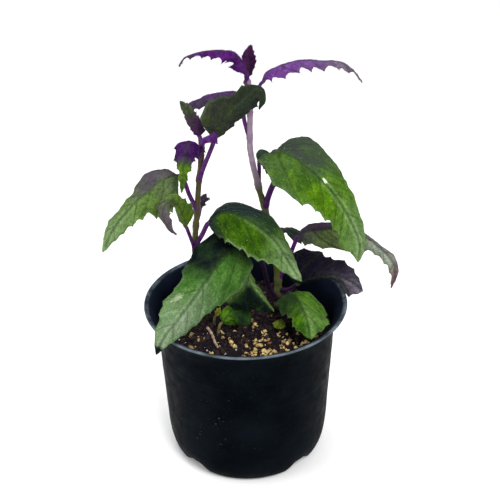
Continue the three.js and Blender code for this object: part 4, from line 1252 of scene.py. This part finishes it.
def soil_top(x, y):
    return SOIL_LEVEL + float(soil_height(x, y) + clods(np.array([[x, y, 0.0]]))[0])


# Kinds of bits, which are also their materials: the soil itself is the first material.
CRUMB, GOLDEN, WHITE, REDDISH = range(1, 5)


def bit_kind(x, y, chance):
    """Kind of a bit. Golden flakes and white grains lie mostly at the front on the right."""
    golden = math.exp(-(((x - 16) / 21) ** 2 + ((y + 27) / 15) ** 2))
    if chance < 0.04 + 0.46 * golden:
        return GOLDEN
    if chance < 0.06 + 0.49 * golden:
        return WHITE
    if chance > 0.98:
        return REDDISH
    return CRUMB


def add_bit(x, y, size, kind, sunk):
    if kind == GOLDEN:
        places, faces, light = flake(rng, 1.3 * size)
    else:
        places, tri = lump(rng, size, 1 if size < 1.2 else 2)
        faces, light = [tri], rng.uniform()
    places = places + np.array([x, y, soil_top(x, y) + sunk * size])
    soil.add(places, faces, kind, high=light)


def spot_in(within, share, turn):
    """A place in a circle for two numbers from 0 to 1, spread evenly over it."""
    radius, angle = within * math.sqrt(share), 2 * math.pi * turn
    return radius * math.cos(angle), radius * math.sin(angle)


for k in range(SOIL_BITS["count"]):
    out, turn, grown, chance = (draw(SOIL_BITS["seed"], 4 * k + n) for n in range(4))
    x, y = spot_in(SOIL_BITS["within"], out, turn)
    size = SOIL_BITS["smallest"] + (SOIL_BITS["largest"] - SOIL_BITS["smallest"]) * grown
    add_bit(x, y, 0.9 * size, bit_kind(x, y, chance), 0.1)
for _ in range(CRUMBS["count"]):
    x, y = spot_in(CRUMBS["within"], rng.uniform(), rng.uniform())
    kind = bit_kind(x, y, rng.uniform())
    size = rng.uniform(0.6, 1.35) ** 2 * (0.6 if kind == WHITE else 1)
    add_bit(x, y, size, kind, rng.uniform(-0.1, 0.4))


def grain_material(name, first, second, scale, roughness, bump, varied=0.35):
    paint = Paint(name, specular_ior_level=0.12)
    base = paint.mix(paint.fit(paint.noise(scale, 4), 0.35, 0.68), first, second)
    base = paint.mix(paint.fit(paint.value("high"), 0.3, 1, 0, varied), base, second)
    paint.bump(paint.noise(2 * scale, 4), bump, 0.0005)
    return paint.done(base, scale, 2, roughness - 0.12, roughness)


SOIL_PAINTS = [
    grain_material("soil_dark", colour(8, 6, 10), colour(30, 22, 28), 420, 0.95, 0.8),
    grain_material("soil_crumb", colour(16, 11, 16), colour(56, 42, 42), 500, 0.95, 0.6),
    grain_material("soil_golden", colour(66, 42, 14), colour(222, 194, 130), 420, 0.6, 0.5, 0.9),
    grain_material("soil_white", colour(150, 144, 138), colour(206, 202, 194), 800, 0.9, 0.5),
    grain_material("soil_reddish", colour(92, 50, 36), colour(140, 84, 60), 600, 0.9, 0.5),
]
keep(soil.piece("soil_fine", SOIL_PAINTS), "soil")

twig = Skin()
twig_rng = np.random.RandomState(5)
along = np.linspace(0, 1, 30)[:, None]
centres = np.array(TWIG["start"]) * (1 - along) + np.array(TWIG["end"]) * along
centres[:, 0] += 0.5 * np.sin(along[:, 0] * 5)
centres[:, 2] += 0.3 + 0.3 * np.sin(along[:, 0] * 7 + 1)
radius = TWIG["radius"] * (1 - 0.25 * along[:, 0]) * (1 + 0.1 * np.sin(along[:, 0] * 30))
tube = tube_grid(centres, radius, 12)
closed_tube(twig, tube + 0.07 * uneven(tube, 1.2, 8)[..., None], 0)
TWIG_PAINT = grain_material("twig_bark", colour(120, 100, 84), colour(186, 166, 142), 500, 0.85,
                            0.6)
keep(twig.piece("twig_fine", [TWIG_PAINT]), "twig")


def notch_lift(places):
    """Raises the floor and foot of the pot at each notch."""
    x, y, z = places[..., 0], places[..., 1], places[..., 2]
    radius = np.hypot(x, y)
    step = 360 / NOTCH["count"]
    angle = np.degrees(np.arctan2(y, x)) - NOTCH["first"]
    off = np.abs(angle - step * np.round(angle / step))
    over = smooth(off, NOTCH["half"] - NOTCH["flank"], NOTCH["half"] + NOTCH["flank"])
    out = smooth(radius, NOTCH["inner"], NOTCH["outer"])
    lift = NOTCH["height"] * (1 - over) * out * np.maximum(0, 1 - z / NOTCH_FADES_BY)
    return places + lift[..., None] * np.array([0, 0, 1.0])


def rounded(points, steps):
    """The outline with its corners rounded as one smooth run through its places."""
    route = [(r, 0, h) for r, h in points]
    fine = Curve(route).at(np.linspace(0, 1, steps * (len(points) - 1) + 1))
    return [(r, h) for r, _, h in fine]


WALL_LOW, WALL_HIGH = POT_OUTER[4][1], POT_OUTER[5][1]


def wall_radius(height):
    """Radius of the pot's straight wall at a height, or of its foot just below the wall."""
    below, above = POT_OUTER[4:6] if height > WALL_LOW else POT_OUTER[3:5]
    return below[0] + (above[0] - below[0]) * (height - below[1]) / (above[1] - below[1])


pot = Skin()
# Fine raised lines round the wall: height, how far they stand out, and how wide they are.
BEADS = ((74, 0.16, 0.5), (60, 0.12, 0.4))
floor_rings = (0.01, 20, NOTCH["inner"], 30, NOTCH["outer"], 37)
outside = [(r, 0) for r in floor_rings] + rounded(POT_OUTER[:5], 5)
for h in np.linspace(WALL_LOW, WALL_HIGH, 70)[1:-1]:
    bead = sum(out * math.exp(-(((h - at) / wide) ** 2)) for at, out, wide in BEADS)
    outside.append((wall_radius(h) + bead, h))
outside += rounded(POT_OUTER[5:], 5) + [(60.25, 101.0), (60.3, 101.4), (60.1, 101.8)]
outline = outside + rounded(POT_INNER[:4], 5) + rounded(POT_INNER[4:], 5)
outline += [(r, floor_top) for r in floor_rings[::-1]]
grid = lathe_grid(outline, POT_SIDES)
grid = grid + 0.05 * uneven(grid, 14, 77)[..., None] * np.array([1, 1, 0]) * (grid[..., 2:] > 3)
grid = notch_lift(grid)
around = np.array(outline, float)
# lip marks the lip's top edge, where a painted highlight goes.
lip = smooth(around[:, 0], 56.5, 58.5) * smooth(around[:, 1], 100.4, 101.2)
inside = np.arange(len(outline)) >= len(outside)
closed_tube(pot, grid, 0, high=np.repeat(lip, POT_SIDES), under=np.repeat(inside, POT_SIDES))

# Drops on the wall: nearly half of them low on the left of the front.
DROPS = dict(count=230, low_left=0.45, lowest=12, highest=90)
pot_rng = np.random.RandomState(3)
spots, outs, sizes = [], [], []
for _ in range(DROPS["count"]):
    low_left = pot_rng.uniform() < DROPS["low_left"]
    angle = pot_rng.normal(-112, 16) if low_left else pot_rng.uniform(0, 360)
    h = pot_rng.normal(40, 12) if low_left else pot_rng.uniform(14, 90)
    h = min(max(h, DROPS["lowest"]), DROPS["highest"])
    r = wall_radius(h)
    a = math.radians(angle)
    spots.append([r * math.cos(a), r * math.sin(a), h])
    outs.append(unit(np.array([math.cos(a), math.sin(a), -0.05])))
    sizes.append(pot_rng.uniform(0.2, 0.75) ** 1.3 + 0.08)
droplets(pot, np.array(spots), outs, sizes, 1)


def pot_material():
    paint = Paint("pot_black", specular_ior_level=0.014, specular_tint=colour(200, 225, 240))
    cloudy = paint.fit(paint.noise(38, 4), 0.35, 0.7)
    base = paint.mix(cloudy, colour(1, 3, 6), colour(7, 12, 17))
    specks = paint.fit(paint.noise(1400, 2, 0.7), 0.66, 0.74)
    base = paint.mix(paint.times(specks, 0.5), base, colour(50, 58, 64))
    # Painted highlight: light grey blue along the lip's top edge, broken up by a noise.
    lip_highlight = paint.times(paint.value("high"),
                       paint.fit(paint.noise(110, 4), 0.35, 0.65, 0.3, 1))
    base = paint.mix(lip_highlight, base, colour(92, 103, 112))
    # Painted light: the inside wall is painted lighter and bluer than the outside.
    inner = paint.mix(cloudy, colour(8, 12, 22), colour(18, 24, 38))
    base = paint.mix(paint.maths("SUBTRACT", paint.value("under"), lip_highlight), base, inner)
    paint.bump(paint.noise(900, 3), 0.12, 0.0003)
    paint.bump(paint.noise(60, 3), 0.2, 0.001)
    return paint.done(base, 160, 4, 0.4, 0.62)


def drop_material():
    paint = Paint("drop_dark", specular_ior_level=0.05)
    base = paint.mix(paint.noise(300, 1), colour(2, 4, 6), colour(34, 42, 48))
    return paint.done(base, 300, 1, 0.3, 0.5)


pot_piece = pot.piece("pot_fine", [pot_material(), drop_material()])


def cut_drain_holes(piece):
    """Cuts the drain holes through the pot's floor at its notches."""
    cutters = bmesh.new()
    for k in range(NOTCH["count"]):
        angle = math.radians(NOTCH["first"] + k * 360 / NOTCH["count"])
        at = DRAIN_HOLE["at"] * to_metres
        place = Matrix.Translation((at * math.cos(angle), at * math.sin(angle), 0.004))
        bmesh.ops.create_cone(
            cutters, cap_ends=True, segments=DRAIN_HOLE["sides"],
            radius1=DRAIN_HOLE["radius"] * to_metres, radius2=DRAIN_HOLE["radius"] * to_metres,
            depth=0.016, matrix=place,
        )
    mesh = bpy.data.meshes.new("cutters")
    cutters.to_mesh(mesh)
    cutters.free()
    cutter = put("cutters", mesh)
    cut = piece.modifiers.new("holes", "BOOLEAN")
    cut.operation = "DIFFERENCE"
    cut.object = cutter
    graph = bpy.context.evaluated_depsgraph_get()
    made = bpy.data.meshes.new_from_object(piece.evaluated_get(graph))
    piece.modifiers.clear()
    piece.data = made
    bpy.data.objects.remove(cutter)


cut_drain_holes(pot_piece)
keep(pot_piece, "pot")


def look_at(place, target):
    back = unit(np.array(place, float) - np.array(target, float))
    right = unit(np.cross([0, 0, 1], back))
    return back, right, np.cross(back, right)


def posed(place, back, right, up):
    matrix = Matrix.Identity(4)
    for column, axis in enumerate((right, up, back)):
        for row in range(3):
            matrix[row][column] = axis[row]
    matrix.translation = Vector(place)
    return matrix


camera = put("camera", bpy.data.cameras.new("camera"))
camera.data.sensor_width = 36
camera.data.sensor_fit = "HORIZONTAL"
camera.data.lens = 80.8
camera_at = (0.003, -0.5652, 0.4571)
back, right, up = look_at(camera_at, (0.003, 0, 0.136))
roll = math.radians(-0.8)
tilted_right = math.cos(roll) * right + math.sin(roll) * up
tilted_up = math.cos(roll) * up - math.sin(roll) * right
camera.matrix_world = posed(camera_at, back, tilted_right, tilted_up)
bpy.context.scene.camera = camera


def lamp(name, place, target, size, power):
    light = bpy.data.lights.new(name, "AREA")
    light.size = size
    light.energy = power
    put(name, light).matrix_world = posed(place, *look_at(place, target))


lamp("key", (0.4, -0.9, 1.1), (0, 0, 0.14), 0.6, 17)
lamp("top", (-0.1, 0.2, 1.3), (0, 0, 0.12), 0.9, 10)
lamp("left", (-0.95, -0.3, 0.5), (0, 0, 0.12), 0.7, 5)

world = bpy.data.worlds.new("studio")
world.use_nodes = True
world.node_tree.nodes["Background"].inputs["Color"].default_value = (1, 1, 1, 1)
world.node_tree.nodes["Background"].inputs["Strength"].default_value = 0.62
bpy.context.scene.world = world
bpy.context.scene.view_settings.view_transform = "Standard"

floor_mesh = bpy.data.meshes.new("floor")
reach = 12
floor_mesh.from_pydata(
    [(-reach, -reach, 0), (reach, -reach, 0), (reach, reach, 0), (-reach, reach, 0)], [],
    [(0, 1, 2, 3)],
)
floor_piece = put("floor", floor_mesh)
floor_paint = Paint("floor_pale")
floor_base = floor_paint.mix(floor_paint.noise(3, 2), (0.9, 0.9, 0.9, 1), (0.92, 0.92, 0.92, 1))
floor_mesh.materials.append(floor_paint.done(floor_base, 4, 2, 0.8, 0.9, 0, 1))
